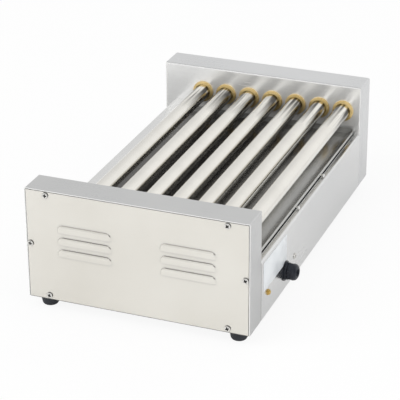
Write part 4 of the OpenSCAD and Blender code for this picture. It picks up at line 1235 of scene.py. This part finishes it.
# Disc of quads: radius along rows, angle along columns
def discMesh(name, radius, rings=6, segments=64):
    r = np.linspace(0.0, radius, rings)[:, None]
    a = np.linspace(0.0, 2 * np.pi, segments, endpoint=False)[None, :]
    points = np.stack([r * np.cos(a), r * np.sin(a), 0 * r * a], -1).reshape(-1, 3)
    mesh = bpy.data.meshes.new(name)
    mesh.from_pydata(points.tolist(), [], gridQuads(rings, segments, wrapCols=True).tolist())
    return mesh


# Floor: a share of plain white is mixed into its shaded colour, more to the eye than to reflections, and a
# share of black where reflections meet the patch, by the distance from its middle
def addFloor(s):
    material, tree, shader = startMaterial("paleFloor", Roughness=0.9)
    drift = tinted(tree, rippled(tree, (s["drift"],) * 3), s["colors"])
    tree.links.new(drift, shader.inputs["Base Color"])
    glow = addNode(tree, "ShaderNodeEmission", {"Color": (1, 1, 1, 1), "Strength": 1.0})
    path, seen = lookingRay(tree)
    toEye = times(tree, path.outputs["Is Camera Ray"], s["lift"] - s["liftSeen"])
    share = added(tree, times(tree, seen, s["liftSeen"]), toEye)
    lifted = addNode(tree, "ShaderNodeMixShader", {0: share, 1: shader.outputs[0], 2: glow.outputs[0]})
    place = addNode(tree, "ShaderNodeTexCoord", {}).outputs["Object"]
    away = addNode(tree, "ShaderNodeVectorMath", {0: place, 1: s["patchPlace"]}, operation="DISTANCE")
    near = remap(tree, away.outputs["Value"], *s["patchEdge"], 0.0, s["patch"])
    onPatch = times(tree, path.outputs["Is Glossy Ray"], near)
    black = addNode(tree, "ShaderNodeEmission", {"Color": (0, 0, 0, 1), "Strength": 0.0})
    blend = addNode(tree, "ShaderNodeMixShader", {0: onPatch, 1: lifted.outputs[0], 2: black.outputs[0]})
    tree.links.new(blend.outputs[0], tree.nodes["Material Output"].inputs["Surface"])
    floor = bpy.data.objects.new("floor", discMesh("floor", s["radius"]))
    floor.data.materials.append(material)
    bpy.context.scene.collection.objects.link(floor)


# One for directions near a given one, falling to zero away from it: the cosine between the two, from one edge
# to the other
def facing(tree, way, aim, edge):
    unit = np.array(aim) / np.linalg.norm(aim)
    near = addNode(tree, "ShaderNodeVectorMath", {0: way, 1: unit.tolist()}, operation="DOT_PRODUCT")
    return remap(tree, near.outputs["Value"], *edge, 0.0, 1.0)


# Sky: white to the camera; to reflections it is the product of a fall from right to left, a dimmer ceiling, a
# front that is brighter by way of two reflections, and a dark curtain at the right
def addSky(s):
    world = bpy.data.worlds.new("studioSky")
    bpy.context.scene.world = world
    world.use_nodes = True
    tree = world.node_tree
    fill = tree.nodes["Background"]
    fill.inputs["Color"].default_value = (1, 1, 1, 1)
    fill.inputs["Strength"].default_value = s["fill"]
    path, seen = lookingRay(tree)
    way = addNode(tree, "ShaderNodeTexCoord", {}).outputs["Generated"]
    parts = addNode(tree, "ShaderNodeSeparateXYZ", {"Vector": way})
    across = remap(tree, parts.outputs["X"], *s["leftToRight"], s["left"], 1.0)
    over = remap(tree, parts.outputs["Z"], *s["ceilingRise"], 1.0, s["ceiling"])
    toFront = times(tree, remap(tree, parts.outputs["Y"], *s["frontFace"], 0.0, 1.0),
                    remap(tree, parts.outputs["Z"], *s["frontRise"], 0.0, 1.0))
    level = remap(tree, path.outputs["Glossy Depth"], 1.0, 2.0, *s["front"])
    front = remap(tree, toFront, 0.0, 1.0, 1.0, level)
    curtain = remap(tree, facing(tree, way, s["curtainFace"], s["curtainEdge"]), 0.0, 1.0, 1.0, s["curtain"])
    dimmed = times(tree, times(tree, across, over), times(tree, front, curtain))
    shown = brighter(tree, dimmed, path.outputs["Is Camera Ray"])
    view = addNode(tree, "ShaderNodeBackground", {"Color": (1, 1, 1, 1), "Strength": shown})
    blend = addNode(tree, "ShaderNodeMixShader", {0: seen, 1: fill.outputs[0], 2: view.outputs[0]})
    tree.links.new(blend.outputs[0], tree.nodes["World Output"].inputs["Surface"])


# Square lamps that face the origin and don't show in reflections
def addLamps(lamps):
    for name, s in lamps.items():
        data = bpy.data.lights.new(name, "AREA")
        data.size = s["size"]
        data.energy = s["power"]
        lamp = bpy.data.objects.new(name, data)
        place = Matrix.Translation(s["place"])
        aim = (lamp.location - place.translation).to_track_quat("-Z", "Y")
        lamp.matrix_world = place @ aim.to_matrix().to_4x4()
        lamp.visible_glossy = False
        bpy.context.scene.collection.objects.link(lamp)


addFloor(floorSet)
addSky(skySet)
addLamps(lampSet)
print("studio lit")
